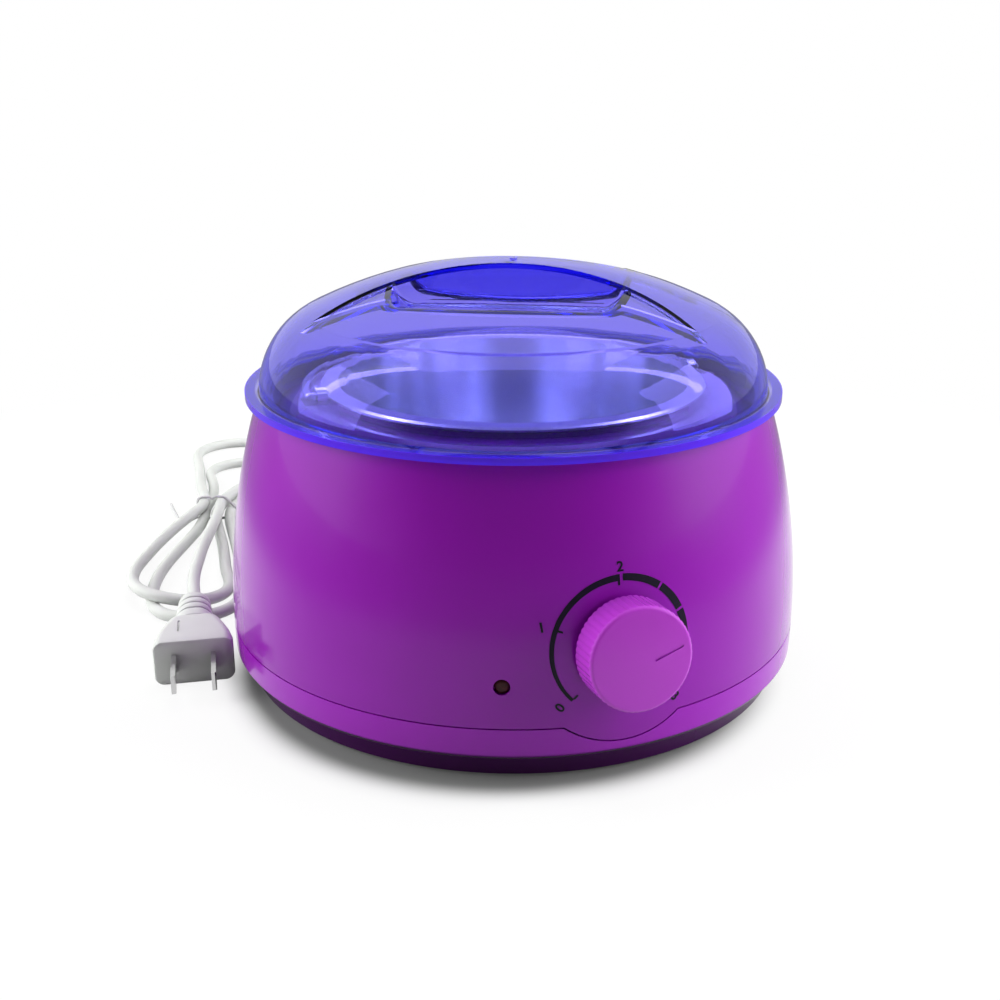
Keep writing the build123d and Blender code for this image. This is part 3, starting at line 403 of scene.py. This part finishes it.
def glass_sleeve():
    """Braided glass fibre."""
    s = Shader("glass_fibre_sleeve", srgb(222, 218, 206), 0.85)
    braid = s.texture("ShaderNodeTexWave", 900.0, Distortion=1.0)["Fac"]
    s.vary("Base Color", braid, srgb(196, 190, 176), srgb(232, 228, 218))
    s.bump(braid, 0.4, 0.0002)
    return s.mat


def red_lens():
    """The unlit pilot light: dark red with a faceted inside."""
    s = Shader("red_lens", srgb(60, 8, 12), 0.3)
    s.set("IOR", 1.35)
    facets = s.cells(900.0)
    s.bump(facets, 0.25, 0.0002)
    s.vary("Base Color", facets, srgb(38, 6, 10), srgb(74, 14, 18))
    return s.mat


def lamp_glass():
    """The neon lamp's bulb, a little smoked."""
    s = Shader("lamp_glass", srgb(240, 214, 196), 0.05)
    s.set("Transmission Weight", 0.9)
    s.vary("Roughness", s.noise(200.0), 0.03, 0.12)
    return s.mat


def foot_rubber():
    """Matt black rubber."""
    s = Shader("foot_rubber", srgb(30, 30, 32), 0.8)
    speck = s.noise(600.0, 4.0)
    s.vary("Base Color", speck, srgb(24, 24, 26), srgb(42, 42, 44))
    s.bump(speck, 0.3, 0.0002)
    return s.mat


def vinyl(name, color, rough):
    """Soft PVC of cord, plug and tie: satin, with faint scuffs."""
    s = Shader(name, color, rough)
    s.set("IOR", 1.45)
    scuff = s.noise(90.0, 4.0)
    s.vary("Base Color", scuff, shade(color, 0.93), shade(color, 1.04))
    s.vary("Roughness", scuff, rough * 0.85, rough * 1.2)
    s.bump(s.noise(1200.0), 0.12, 0.0001)
    return s.mat


def printed_ink():
    """Dark ink, worn unevenly."""
    s = Shader("dial_ink", srgb(20, 16, 28), 0.5)
    s.set("IOR", 1.3)
    wear = s.noise(700.0, 4.0)
    s.vary("Base Color", wear, srgb(12, 10, 20), srgb(30, 22, 44))
    s.vary("Roughness", wear, 0.34, 0.55)
    return s.mat


knob_mat = moulded("knob_plastic", srgb(173, 58, 193), 0.23, 0.8).mat
aluminium_mat = spun_metal("spun_aluminium", srgb(222, 228, 226), 0.2)
steel_mat = metal("drawn_steel", srgb(190, 191, 194), 0.28, (1, 1, 8))
brass_mat = metal("brass", srgb(200, 164, 92), 0.3, (8, 8, 1))
phenolic_mat = moulded("phenolic", srgb(34, 33, 36), 0.5, 0.0, 0.05).mat
cord_mat = vinyl("cord_vinyl", srgb(198, 201, 197), 0.42)
plug_mat = vinyl("plug_vinyl", srgb(201, 204, 200), 0.36)
tie_mat = vinyl("tie_vinyl", srgb(190, 190, 191), 0.45)
ink_mat = printed_ink()

# The CAD nodes keep their shape and get a material; screws, clips and straps are steel
node_looks = {
    "upper_casing": casing_plastic(),
    "base_tray": tray_plastic(),
    "lid": lid_plastic(),
    "control_knob": knob_mat,
    "wax_pot": aluminium_mat,
    "heating_well": aluminium_mat,
    "heat_reflector": aluminium_mat,
    "thermostat_bush": brass_mat,
    "thermostat_nut": brass_mat,
    "thermostat_terminals": brass_mat,
    "heater_terminals": brass_mat,
    "thermostat_probe": metal("copper_tube", srgb(186, 118, 84), 0.32, (1, 8, 8)),
    "heater_band": mica_sheath(),
    "thermostat_body": phenolic_mat,
    "terminal_block": phenolic_mat,
    "thermal_fuse": glass_sleeve(),
    "indicator_lens": red_lens(),
    "indicator_lamp": lamp_glass(),
    "rubber_feet": foot_rubber(),
    "wiring": moulded("lead_sleeve", srgb(214, 208, 192), 0.5, 0.0).mat,
    "inner_cord": cord_mat,
    "strain_relief": cord_mat,
    "cord_clamp": cord_mat,
    "power_cord": cord_mat,
    "cord_hank": cord_mat,
    "plug_lead": cord_mat,
    "cord_tie": tie_mat,
    "plug_body": plug_mat,
    "plug_blades": metal("plated_blade", srgb(228, 228, 228), 0.16, (1, 12, 1)),
}
for name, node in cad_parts.items():
    node.data.materials.clear()
    node.data.materials.append(node_looks.get(name, steel_mat))

# ------------------------------------------------------------------ cord
# The route of part.py, then the turns of the tied hank, in millimetres
EXIT_Y, EXIT_Z, CORD_R = 123.1, 13.6, 2.3
cord_points = [
    (0, EXIT_Y, EXIT_Z), (0, EXIT_Y + 14, EXIT_Z), (-5, EXIT_Y + 31, 7.4), (-17, EXIT_Y + 47, 3.0),
    (-33, EXIT_Y + 58, 2.4), (-47, EXIT_Y + 63.5, 2.4), (-60, EXIT_Y + 64.5, 2.4),
    (-70.5, EXIT_Y + 59.5, 2.4), (-77, 173, 2.8), (-82, 160, 3.4),
    # through the tie and down the first near loop
    (-83.4, 148, 2.9), (-83.8, 135, 2.4), (-84.4, 121, 2.4), (-85.6, 107, 2.4), (-87, 94, 2.4),
    (-87.1, 80, 2.4), (-89.5, 71, 2.7), (-96, 64.5, 3.4), (-105, 62.1, 4.8), (-114, 64.5, 6.5),
    (-120.5, 71, 7.2), (-122.9, 80, 6.4), (-122.9, 91, 4.9), (-120.6, 104, 3.6), (-115.6, 117, 3.2),
    (-108.4, 130, 4.4), (-99.8, 141.8, 6.2), (-93, 149.8, 7.4), (-87.8, 157.4, 7.8),
    # through the tie and round the large far loop
    (-85.6, 166, 7.7), (-85, 177, 6.6), (-84.6, 189, 4.8), (-83.6, 203, 3.0), (-82, 218, 2.4),
    (-80.6, 233, 2.4), (-80.2, 246, 2.4), (-77.5, 256.1, 2.4), (-70.1, 263.5, 2.4), (-60, 266.2, 2.4),
    (-49.9, 263.5, 2.4), (-42.5, 256.1, 2.4), (-39.8, 246, 2.4), (-39.8, 233, 2.4), (-41, 220, 2.6),
    (-43.2, 207.5, 4.2), (-47, 196, 6.2), (-53, 185, 7.2), (-60.2, 176, 7.0), (-67, 169.2, 5.8),
    (-72.4, 164.2, 4.6), (-76, 158.6, 3.6),
    # down the second near loop
    (-77.6, 150, 3.2), (-78.3, 138, 2.5), (-79.2, 117, 2.4), (-80.4, 101, 2.4), (-81.6, 85, 2.4),
    (-83.9, 70, 2.4), (-87.1, 59.8, 2.4), (-93.1, 53.8, 2.4), (-101.3, 51.6, 2.4),
    (-109.5, 53.8, 2.4), (-115.5, 59.8, 2.4), (-117.7, 69, 2.4), (-116.5, 81, 2.4), (-113, 96, 2.4),
    (-107.2, 111, 2.4), (-100, 126, 2.4), (-93.2, 139, 2.9), (-89.0, 150, 3.2), (-86.6, 161.1, 3.3),
    # round the small far loop
    (-84.9, 170, 2.8), (-81.3, 180, 2.4), (-78.8, 192, 2.4), (-77.6, 204, 2.4), (-77.6, 216, 2.4),
    (-75.6, 223.6, 2.4), (-70, 229.1, 2.4), (-62.5, 231.1, 2.5), (-55.6, 229.5, 2.9),
    (-49.4, 224.9, 3.4), (-46.2, 216, 4.4), (-48.2, 206, 5.9), (-53, 196, 7.1), (-60.2, 186, 7.7),
    (-68.4, 176, 8.0), (-75.4, 167, 8.0), (-79.9, 159.4, 7.9),
    # over the turns to the plug
    (-82.0, 149, 7.7), (-85.6, 136, 7.3), (-90, 122, 7.2), (-94.2, 107, 7.6), (-97.4, 92, 8.4),
    (-100.2, 79, 9.4), (-102, 68, 9.9), (-102.9, 57.5, 9.5), (-103.7, 49.1, 9.2),
]
mains_cord = wire_piece("mains_cord", cord_points, CORD_R, roundness=5, steps=10)
dress(mains_cord, "housing", cord_mat)
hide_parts("power_cord", "cord_hank", "plug_lead")

# The wire tie: a loop round the five turns at the waist, its ends twisted and laid beside them
WIRE_R, TWIST_R, TWISTS, TWIST_STEPS = 0.55, 0.58, 3, 8
waist = Vector((-82.0, 160.0, 0.0))
along = Vector((41.0, 171.0, 0.0)).normalized()
across = Vector((along.y, -along.x, 0.0))
# (distance across the turns, height), over them from the twist and back beneath
loop_points = [
    (-7.75, 5.5), (-7.8, 10.55), (-2.3, 10.75), (-1.2, 9.3), (-0.2, 10.8), (3.8, 10.75), (6.5, 7.75),
    (9.3, 4.75), (9.3, 0.58), (5.0, 0.58), (0.0, 0.58), (-3.8, 0.58), (-7.0, 0.6),
]
loop = [waist + across * u + Vector((0, 0, z)) for u, z in loop_points]
twist_start, twist_end = Vector((-90.8, 162.5, 1.4)), Vector((-97.0, 156.4, 1.25))
long_end = [(-99.4, 183.0, 1.3), (-98.7, 174.0, 0.6), (-98.0, 164.5, 0.6), (-98.2, 158.5, 0.65)]
short_end = [(-97.6, 155.2, 0.8), (-98.0, 154.2, 0.65)]


def twisted(phase):
    """One wire of the twisted pair, from the loop outward, in millimetres."""
    axis = (twist_end - twist_start).normalized()
    side = axis.cross(Vector((0, 0, 1))).normalized()
    rise = side.cross(axis)
    points = []
    for i in range(TWISTS * TWIST_STEPS + 1):
        k = i / (TWISTS * TWIST_STEPS)
        a = 2 * pi * TWISTS * k + phase
        points.append(twist_start.lerp(twist_end, k) + TWIST_R * (side * cos(a) + rise * sin(a)))
    return points


tie_points = long_end + twisted(0.0)[::-1] + loop + twisted(pi) + short_end
wire_tie = wire_piece("wire_tie", tie_points, WIRE_R, roundness=3, steps=4)
dress(wire_tie, "housing", tie_mat)
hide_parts("cord_tie")

# ------------------------------------------------------------------ printed dial
# The casing's bulged side, as part.py draws it, in millimetres
SEAM_R, SEAM_Z, RIM_R, RIM_Z = 95.0, 18.5, 82.7, 93.5
BULGE_R = ((RIM_Z - SEAM_Z) ** 2 + (SEAM_R - RIM_R) ** 2) / (2 * (SEAM_R - RIM_R))
KNOB_Z = 41.2
DIAL_TILT = asin((KNOB_Z - SEAM_Z) / BULGE_R)
DIAL_CENTRE = Vector((-0.8, -0.1))          # the print sits a little off the knob's axis
INK_TOP, INK_FOOT = 0.08, -0.05             # heights of the raised ink over the skin
LINE_R, TICK_R, TICK_HALF = 20.2, 18.9, 0.8
TICK_TURN = 0.9                             # half a tick's width, in degrees
NUMBER_SIZE, NUMBER_R = 4.0, 24.1


def side_r(z):
    """The casing's radius at a height."""
    return SEAM_R - BULGE_R + sqrt(BULGE_R ** 2 - (z - SEAM_Z) ** 2)


dial_at = Vector((0, -side_r(KNOB_Z), KNOB_Z))
dial_out = Vector((0, -cos(DIAL_TILT), sin(DIAL_TILT)))
dial_up = Vector((0, sin(DIAL_TILT), cos(DIAL_TILT)))
dial_right = Vector((1, 0, 0))


def on_skin(u, v, lift):
    """A point of the dial's plane, moved along its axis onto the casing's skin, in metres."""
    p = dial_at + dial_right * u + dial_up * v
    t = 0.0
    for _ in range(12):
        q = p + dial_out * t
        t -= sqrt(q.x ** 2 + q.y ** 2) - side_r(q.z) - lift
    return (p + dial_out * t) * MM


def print_band(name, radius, width_at, start, end, steps):
    """A printed arc, its angles in degrees; width_at(k) is its reach in and out at share k of it."""
    rings = []
    for i in range(steps + 1):
        k = i / steps
        a = radians(start + (end - start) * k)
        inward, outward = width_at(k)
        row = []
        for r in (radius - inward, radius + (outward - inward) / 2, radius + outward):
            row.append((DIAL_CENTRE.x + r * cos(a), DIAL_CENTRE.y + r * sin(a)))
        top = [on_skin(u, v, INK_TOP) for u, v in row]
        foot = [on_skin(u, v, INK_FOOT) for u, v in reversed(row)]
        rings.append(top + foot)
    dress(add(name, rings_mesh(name, rings)), "housing", ink_mat)


def print_number(name, digit, angle, turn, radius=NUMBER_R):
    """A plain number printed beside the dial's line; angles in degrees."""
    text = bpy.data.curves.new(name, "FONT")
    text.body = digit
    text.size = NUMBER_SIZE
    text.align_x = "CENTER"
    text.align_y = "CENTER"
    text.extrude = 0.05
    text.offset = 0.1
    text.resolution_u = 6
    holder = add(name, text)
    mesh = as_mesh(holder)
    bpy.data.objects.remove(holder)
    a, spin = radians(angle), radians(turn)
    for v in mesh.vertices:
        u = DIAL_CENTRE.x + radius * cos(a) + v.co.x * cos(spin) - v.co.y * sin(spin)
        w = DIAL_CENTRE.y + radius * sin(a) + v.co.x * sin(spin) + v.co.y * cos(spin)
        v.co = on_skin(u, w, INK_TOP if v.co.z > 0 else INK_FOOT)
    dress(add(name, mesh), "housing", ink_mat)


# Clockwise from off: a line that widens as the heat rises, cut at the marked settings
dial_lines = [
    ("dial_line_low", 224.0, 90.6, lambda k: (0.45 + 0.45 * k, 0.5 + 0.5 * k), 64),
    ("dial_line_mid", 88.0, 54.3, lambda k: (0.95 + 0.15 * k, 1.05 + 0.05 * k), 24),
    ("dial_line_high", 52.1, 25.4, lambda k: (1.15, 1.1), 20),
    ("dial_line_end", 23.2, -34.0, lambda k: (1.15, 1.1), 30),
]
for name, start, end, width_at, steps in dial_lines:
    print_band(name, LINE_R, width_at, start, end, steps)
for name, angle in (("dial_tick_off", 224.0), ("dial_tick_low", 159.6), ("dial_tick_mid", 91.6)):
    print_band(name, TICK_R, lambda k: (TICK_HALF, TICK_HALF), angle - TICK_TURN, angle + TICK_TURN, 3)
print_number("dial_number_0", "0", 221.7, 45.0)
print_number("dial_number_1", "1", 160.6, 8.0)
print_number("dial_number_2", "2", 89.9, 0.0, 23.2)
print_number("dial_number_3", "3", -46.5, -45.0, 25.0)

# ------------------------------------------------------------------ knob
KNOB_R, KNOB_H, KNOB_LIFT, KNOB_CROWN, KNOB_EDGE, EDGE_STEPS = 15.4, 10.5, 0.9, 0.6, 1.3, 8
HOLLOW_R, HOLLOW_H = 12.5, 8.3              # the knob's open back
HUB_R, BORE_R, HUB_FOOT, BORE_H = 5.4, 3.1, 2.6, 7.7
KNOB_AXIS_R = 0.3                           # the rings that close the face and the bore
FLUTES, FLUTE_DEPTH, FLUTE_STEPS = 50, 0.2, 10
POINTER_FROM, POINTER_TO, POINTER_W, POINTER_DEPTH = Vector((3.9, -0.25)), Vector((11.8, 2.5)), 0.8, 0.5
POINTER_END_STEPS = 12
KNOB_CREASE = 38


def face_height(r):
    """The height of the knob's crowned face."""
    return KNOB_H + KNOB_CROWN * (1 - (r / KNOB_R) ** 2)


def on_dial(u, v, height):
    """A point over the dial's plane, in metres."""
    return (dial_at + dial_right * u + dial_up * v + dial_out * height) * MM


# (radius, height, share of the flutes' depth), from the middle of the face to the shaft's bore
knob_profile = [(r, face_height(r), 0.0) for r in (KNOB_AXIS_R, 2.0, 4.0, 6.0, 8.0, 10.0, 12.0, 13.3)]
edge_top = face_height(KNOB_R - KNOB_EDGE)
for i in range(EDGE_STEPS + 1):
    k = i / EDGE_STEPS
    inward, down = KNOB_EDGE * (1 - sin(k * pi / 2)), KNOB_EDGE * (1 - cos(k * pi / 2))
    knob_profile.append((KNOB_R - inward, edge_top - down, k ** 2))
knob_profile += [(KNOB_R, z, 1.0) for z in (8.4, 7.0, 5.0, 3.0, 1.0, 0.3)]
knob_profile.append((KNOB_R - 0.3, 0.0, 1.0))
knob_profile += [(r, z, 0.0) for r, z in (
    (HOLLOW_R + 0.1, 0.0), (HOLLOW_R, 0.2), (HOLLOW_R, HOLLOW_H - 0.1), (HOLLOW_R - 0.2, HOLLOW_H),
    (HUB_R + 0.1, HOLLOW_H), (HUB_R, HOLLOW_H - 0.1), (HUB_R, HUB_FOOT + 0.2), (HUB_R - 0.2, HUB_FOOT),
    (BORE_R, HUB_FOOT), (BORE_R, BORE_H), (KNOB_AXIS_R, BORE_H),
)]
knob_rings = []
for r, z, share in knob_profile:
    ring = []
    for i in range(FLUTES * FLUTE_STEPS):
        a = 2 * pi * i / (FLUTES * FLUTE_STEPS)
        dip = FLUTE_DEPTH * share * ((1 - cos(a * FLUTES)) / 2) ** 2
        ring.append(on_dial((r - dip) * cos(a), (r - dip) * sin(a), KNOB_LIFT + z))
    knob_rings.append(ring)
knob = add("fluted_knob", rings_mesh("fluted_knob", knob_rings))

# The pointer: a slot with round ends, pressed into the face
line = (POINTER_TO - POINTER_FROM).normalized()
side = Vector((-line.y, line.x))
slot_outline = []
for end, turn in ((POINTER_TO, -pi / 2), (POINTER_FROM, pi / 2)):
    for i in range(POINTER_END_STEPS + 1):
        a = turn + pi * i / POINTER_END_STEPS
        slot_outline.append(end + (line * cos(a) + side * sin(a)) * POINTER_W / 2)
slot_floor, slot_top = face_height(8.0) - POINTER_DEPTH, face_height(0.0) + 1.0
slot_rings = [[on_dial(q.x, q.y, KNOB_LIFT + z) for q in slot_outline] for z in (slot_floor, slot_top)]
cut(knob, rings_mesh("pointer_slot", slot_rings), KNOB_CREASE)
dress(knob, "knob", knob_mat)
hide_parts("control_knob")

# ------------------------------------------------------------------ plug
PLUG_TURN, PLUG_RISE, PLUG_STRETCH = radians(7.0), radians(1.5), 1.07
plug_at = Vector((-109.2, 4.4, 8.0))        # the middle of its front face
plug_right = Vector((-cos(PLUG_TURN), sin(PLUG_TURN), 0))
plug_back = Vector((sin(PLUG_TURN) * cos(PLUG_RISE), cos(PLUG_TURN) * cos(PLUG_RISE), sin(PLUG_RISE)))
plug_up = plug_back.cross(plug_right)
MARK_AT, MARK_SIZE, MARK_RUN = (4.6, 7.9), (0.7, 1.8, 0.3), (7.0, 15.5)
PLUG_CREASE = 32
# A tapered body with a shoulder, and a ribbed neck where the cord goes in:
# (distance from the front face before the stretch, width, height, corner radius)
plug_sections = [
    (0.0, 24.4, 14.4, 2.4), (0.25, 25.4, 15.4, 2.9), (0.8, 26.0, 15.9, 3.2), (4.0, 25.9, 15.9, 3.2),
    (9.0, 24.1, 15.7, 3.4), (14.0, 21.6, 15.0, 3.8), (18.5, 19.3, 13.9, 4.2), (20.6, 18.2, 13.2, 4.4),
    (21.3, 17.6, 12.7, 4.6), (21.6, 16.4, 11.9, 4.8), (21.7, 12.4, 10.6, 4.9), (22.6, 12.0, 10.4, 5.0),
    (22.9, 13.2, 11.6, 5.4), (23.4, 13.7, 12.0, 5.6), (27.0, 13.3, 11.9, 5.7), (27.5, 12.8, 11.4, 5.5),
    (27.7, 11.0, 10.0, 4.9), (28.6, 11.0, 10.0, 4.9), (28.8, 12.4, 11.3, 5.5), (29.2, 12.9, 11.7, 5.7),
    (31.4, 12.7, 11.6, 5.7), (31.8, 12.2, 11.1, 5.4), (32.0, 10.6, 9.8, 4.8), (32.9, 10.5, 9.7, 4.7),
    (33.1, 11.9, 11.0, 5.4), (33.5, 12.3, 11.4, 5.6), (35.7, 12.1, 11.3, 5.5), (36.1, 11.6, 10.8, 5.3),
    (36.3, 10.2, 9.5, 4.6), (37.2, 10.1, 9.4, 4.6), (37.4, 11.3, 10.6, 5.2), (37.8, 11.7, 11.0, 5.4),
    (40.2, 11.4, 10.8, 5.3), (41.0, 10.6, 10.1, 4.9), (41.4, 9.2, 9.0, 4.4), (41.5, 5.4, 5.4, 2.6),
]


def in_plug(x, y, back):
    """A point in the plug's frame, in metres: right, up and back from its front face."""
    return (plug_at + plug_right * x + plug_up * y + plug_back * back * PLUG_STRETCH) * MM


def rounded(width, height, corner, steps=8):
    """Points round a rectangle with rounded corners."""
    points = []
    for sx, sy, turn in ((1, 1, 0.0), (-1, 1, pi / 2), (-1, -1, pi), (1, -1, 3 * pi / 2)):
        middle_x, middle_y = sx * (width / 2 - corner), sy * (height / 2 - corner)
        for i in range(steps + 1):
            a = turn + (pi / 2) * i / steps
            points.append((middle_x + corner * cos(a), middle_y + corner * sin(a)))
    return points


plug_rings = [[in_plug(x, y, back) for x, y in rounded(*size)] for back, *size in plug_sections]
plug = add("moulded_plug", rings_mesh("moulded_plug", plug_rings))
# A shallow groove along its top
mark_rings = [
    [in_plug(MARK_AT[0] + x, MARK_AT[1] + y, back) for x, y in rounded(*MARK_SIZE, steps=2)]
    for back in MARK_RUN
]
cut(plug, rings_mesh("plug_mark", mark_rings), PLUG_CREASE)
dress(plug, "housing", plug_mat)
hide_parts("plug_body")

# ------------------------------------------------------------------ floor
# The floor is white to the camera and keeps the object's cast shadow; near the object a painted shade
# darkens it as well.
# Distances are in metres from a point a little in front of the axis, because the painted shade reaches
# further there.
FLOOR_REACH = 4.0
SHADE_MIDDLE = seen(0.0, -0.012, 0.0)
CONTACT_SHADE = (0.081, 0.0925)             # painted shade, dark under the skirt, then the floor's own tone
UNSEEN_SHADE = (0.085, 0.103)               # the same painted shade for bounced and mirrored light
WHITE_NEAR, WHITE_FAR = (0.082, 0.097), (0.22, 0.42)    # where the white glow sets in and is full
MIRROR_FADE = (0.21, 0.36)                  # a mirror sees the floor dim with distance
MIRROR_DEPTH = (-0.12, 0.04)                # and dimmer in front of the object
# Painted shade near the object, then the floor's own tone: as the camera sees it, and as bounced and
# mirrored light sees it
PAPER, PAPER_PAINTED_SHADE = (0.8, 0.82, 0.79, 1), (0.22, 0.225, 0.22, 1)
UNSEEN, UNSEEN_PAINTED_SHADE = (0.58, 0.58, 0.58, 1), (0.12, 0.12, 0.12, 1)

floor_data = bpy.data.meshes.new("floor")
floor_data.from_pydata(
    [(x * FLOOR_REACH, y * FLOOR_REACH, 0) for x, y in ((-1, -1), (1, -1), (1, 1), (-1, 1))],
    [], [(0, 1, 2, 3)],
)
floor = add("floor", floor_data)
floor_mat = bpy.data.materials.new("floor")
floor_mat.use_nodes = True
floor.data.materials.append(floor_mat)

tree = floor_mat.node_tree
rays = tree.nodes.new("ShaderNodeLightPath").outputs
place = tree.nodes.new("ShaderNodeTexCoord").outputs["Object"]
distance = vector_node(tree, "LENGTH", vector_node(tree, "SUBTRACT", place, SHADE_MIDDLE))
depth = vector_node(tree, "DOT_PRODUCT", place, direction(0.0, 1.0, 0.0))
mirrored = math_node(tree, "SUBTRACT", rays["Is Glossy Ray"], rays["Is Transmission Ray"], clamp=True)

ground = tree.nodes["Principled BSDF"]
ground.inputs["Roughness"].default_value = 0.9
ground.inputs["Specular IOR Level"].default_value = 0.1
# The floor's colour, with the painted shade near the object
painted_paper = mixed(tree, "RGBA", map_range(tree, distance, *CONTACT_SHADE), PAPER_PAINTED_SHADE, PAPER)
painted_unseen = mixed(tree, "RGBA", map_range(tree, distance, *UNSEEN_SHADE), UNSEEN_PAINTED_SHADE, UNSEEN)
not_looked_at = math_node(tree, "MAXIMUM", rays["Is Diffuse Ray"], mirrored)
feed(tree, ground.inputs["Base Color"], mixed(tree, "RGBA", not_looked_at, painted_paper, painted_unseen))

glow = tree.nodes.new("ShaderNodeEmission")
glow.inputs["Color"].default_value = (1, 1, 1, 1)
mirror_level = math_node(
    tree, "MULTIPLY",
    map_range(tree, distance, *MIRROR_FADE, 1.0, 0.3), map_range(tree, depth, *MIRROR_DEPTH, 0.6, 1.0),
)
feed(tree, glow.inputs["Strength"], mixed(tree, "FLOAT", mirrored, 1.0, mirror_level))
white = math_node(
    tree, "MAXIMUM",
    map_range(tree, distance, *WHITE_NEAR, 0.04, 0.9), map_range(tree, distance, *WHITE_FAR),
)
looked_at = math_node(tree, "MAXIMUM", rays["Is Camera Ray"], rays["Is Glossy Ray"])
looked_at = math_node(tree, "MAXIMUM", looked_at, rays["Is Transmission Ray"])
share = math_node(tree, "MULTIPLY", looked_at, white)
surface = mixed_shaders(tree, share, ground.outputs["BSDF"], glow.outputs["Emission"])
tree.links.new(surface, tree.nodes["Material Output"].inputs["Surface"])

# ------------------------------------------------------------------ world
# Soft fill for diffuse light; mirror rays see white walls, and the dim room in front of the set
FILL = 0.12
ROOM_FRONT = direction(0.0, -0.9, 0.44).normalized()
ROOM_EDGE = (0.25, 0.85)                    # how squarely a ray looks at the room in front
WALLS, ROOM = 0.75, 0.1
LID_GAIN, LID_LIFT = 1.1, 0.27              # what the lid lets through is a little brighter

world = bpy.data.worlds.new("studio")
bpy.context.scene.world = world
world.use_nodes = True
sky = world.node_tree


def backdrop(strength):
    """A white background with this strength, a number or another node's output."""
    node = sky.nodes.new("ShaderNodeBackground")
    node.inputs["Color"].default_value = (1, 1, 1, 1)
    feed(sky, node.inputs["Strength"], strength)
    return node.outputs["Background"]


rays = sky.nodes.new("ShaderNodeLightPath").outputs
towards = sky.nodes.new("ShaderNodeTexCoord").outputs["Generated"]
facing = vector_node(sky, "DOT_PRODUCT", towards, ROOM_FRONT)
mirror_view = map_range(sky, facing, *ROOM_EDGE, WALLS, ROOM)
lid_view = math_node(sky, "MULTIPLY_ADD", mirror_view, LID_GAIN, LID_LIFT)
set_view = mixed(sky, "FLOAT", rays["Is Transmission Ray"], mirror_view, lid_view)
straight = math_node(sky, "MAXIMUM", rays["Is Glossy Ray"], rays["Is Transmission Ray"])
set_light = mixed_shaders(sky, straight, backdrop(FILL), backdrop(set_view))
whole = mixed_shaders(sky, rays["Is Camera Ray"], set_light, backdrop(1.0))
sky.links.new(whole, sky.nodes["World Output"].inputs["Surface"])


# ------------------------------------------------------------------ lamps
def softbox(name, place, aim, size, watts):
    """An area lamp that mirror rays don't see."""
    data = bpy.data.lights.new(name, "AREA")
    data.shape = "RECTANGLE"
    data.size, data.size_y = size
    data.energy = watts
    lamp = add(name, data)
    lamp.location = place
    lamp.rotation_euler = (aim - place).to_track_quat("-Z", "Y").to_euler()
    lamp.visible_glossy = False
    return lamp


aim = Vector((0, 0, 0.06))
softbox("box_left", seen(-0.85, -0.05, 0.35), aim, (0.6, 0.8), 11.0)
softbox("box_right", seen(0.85, -0.05, 0.35), aim, (0.6, 0.8), 13.0)
softbox("box_top", seen(0.0, 0.25, 1.0), aim, (0.9, 0.6), 8.0)
# Narrow tubes that draw a streak down each side of the pot's spun wall
for name, side in (("tube_left", -1), ("tube_right", 1)):
    tube = softbox(name, seen(side * 0.45, 0.0, 0.5), Vector((0, 0, 0.08)), (0.05, 0.5), 7.0)
    tube.visible_diffuse = False
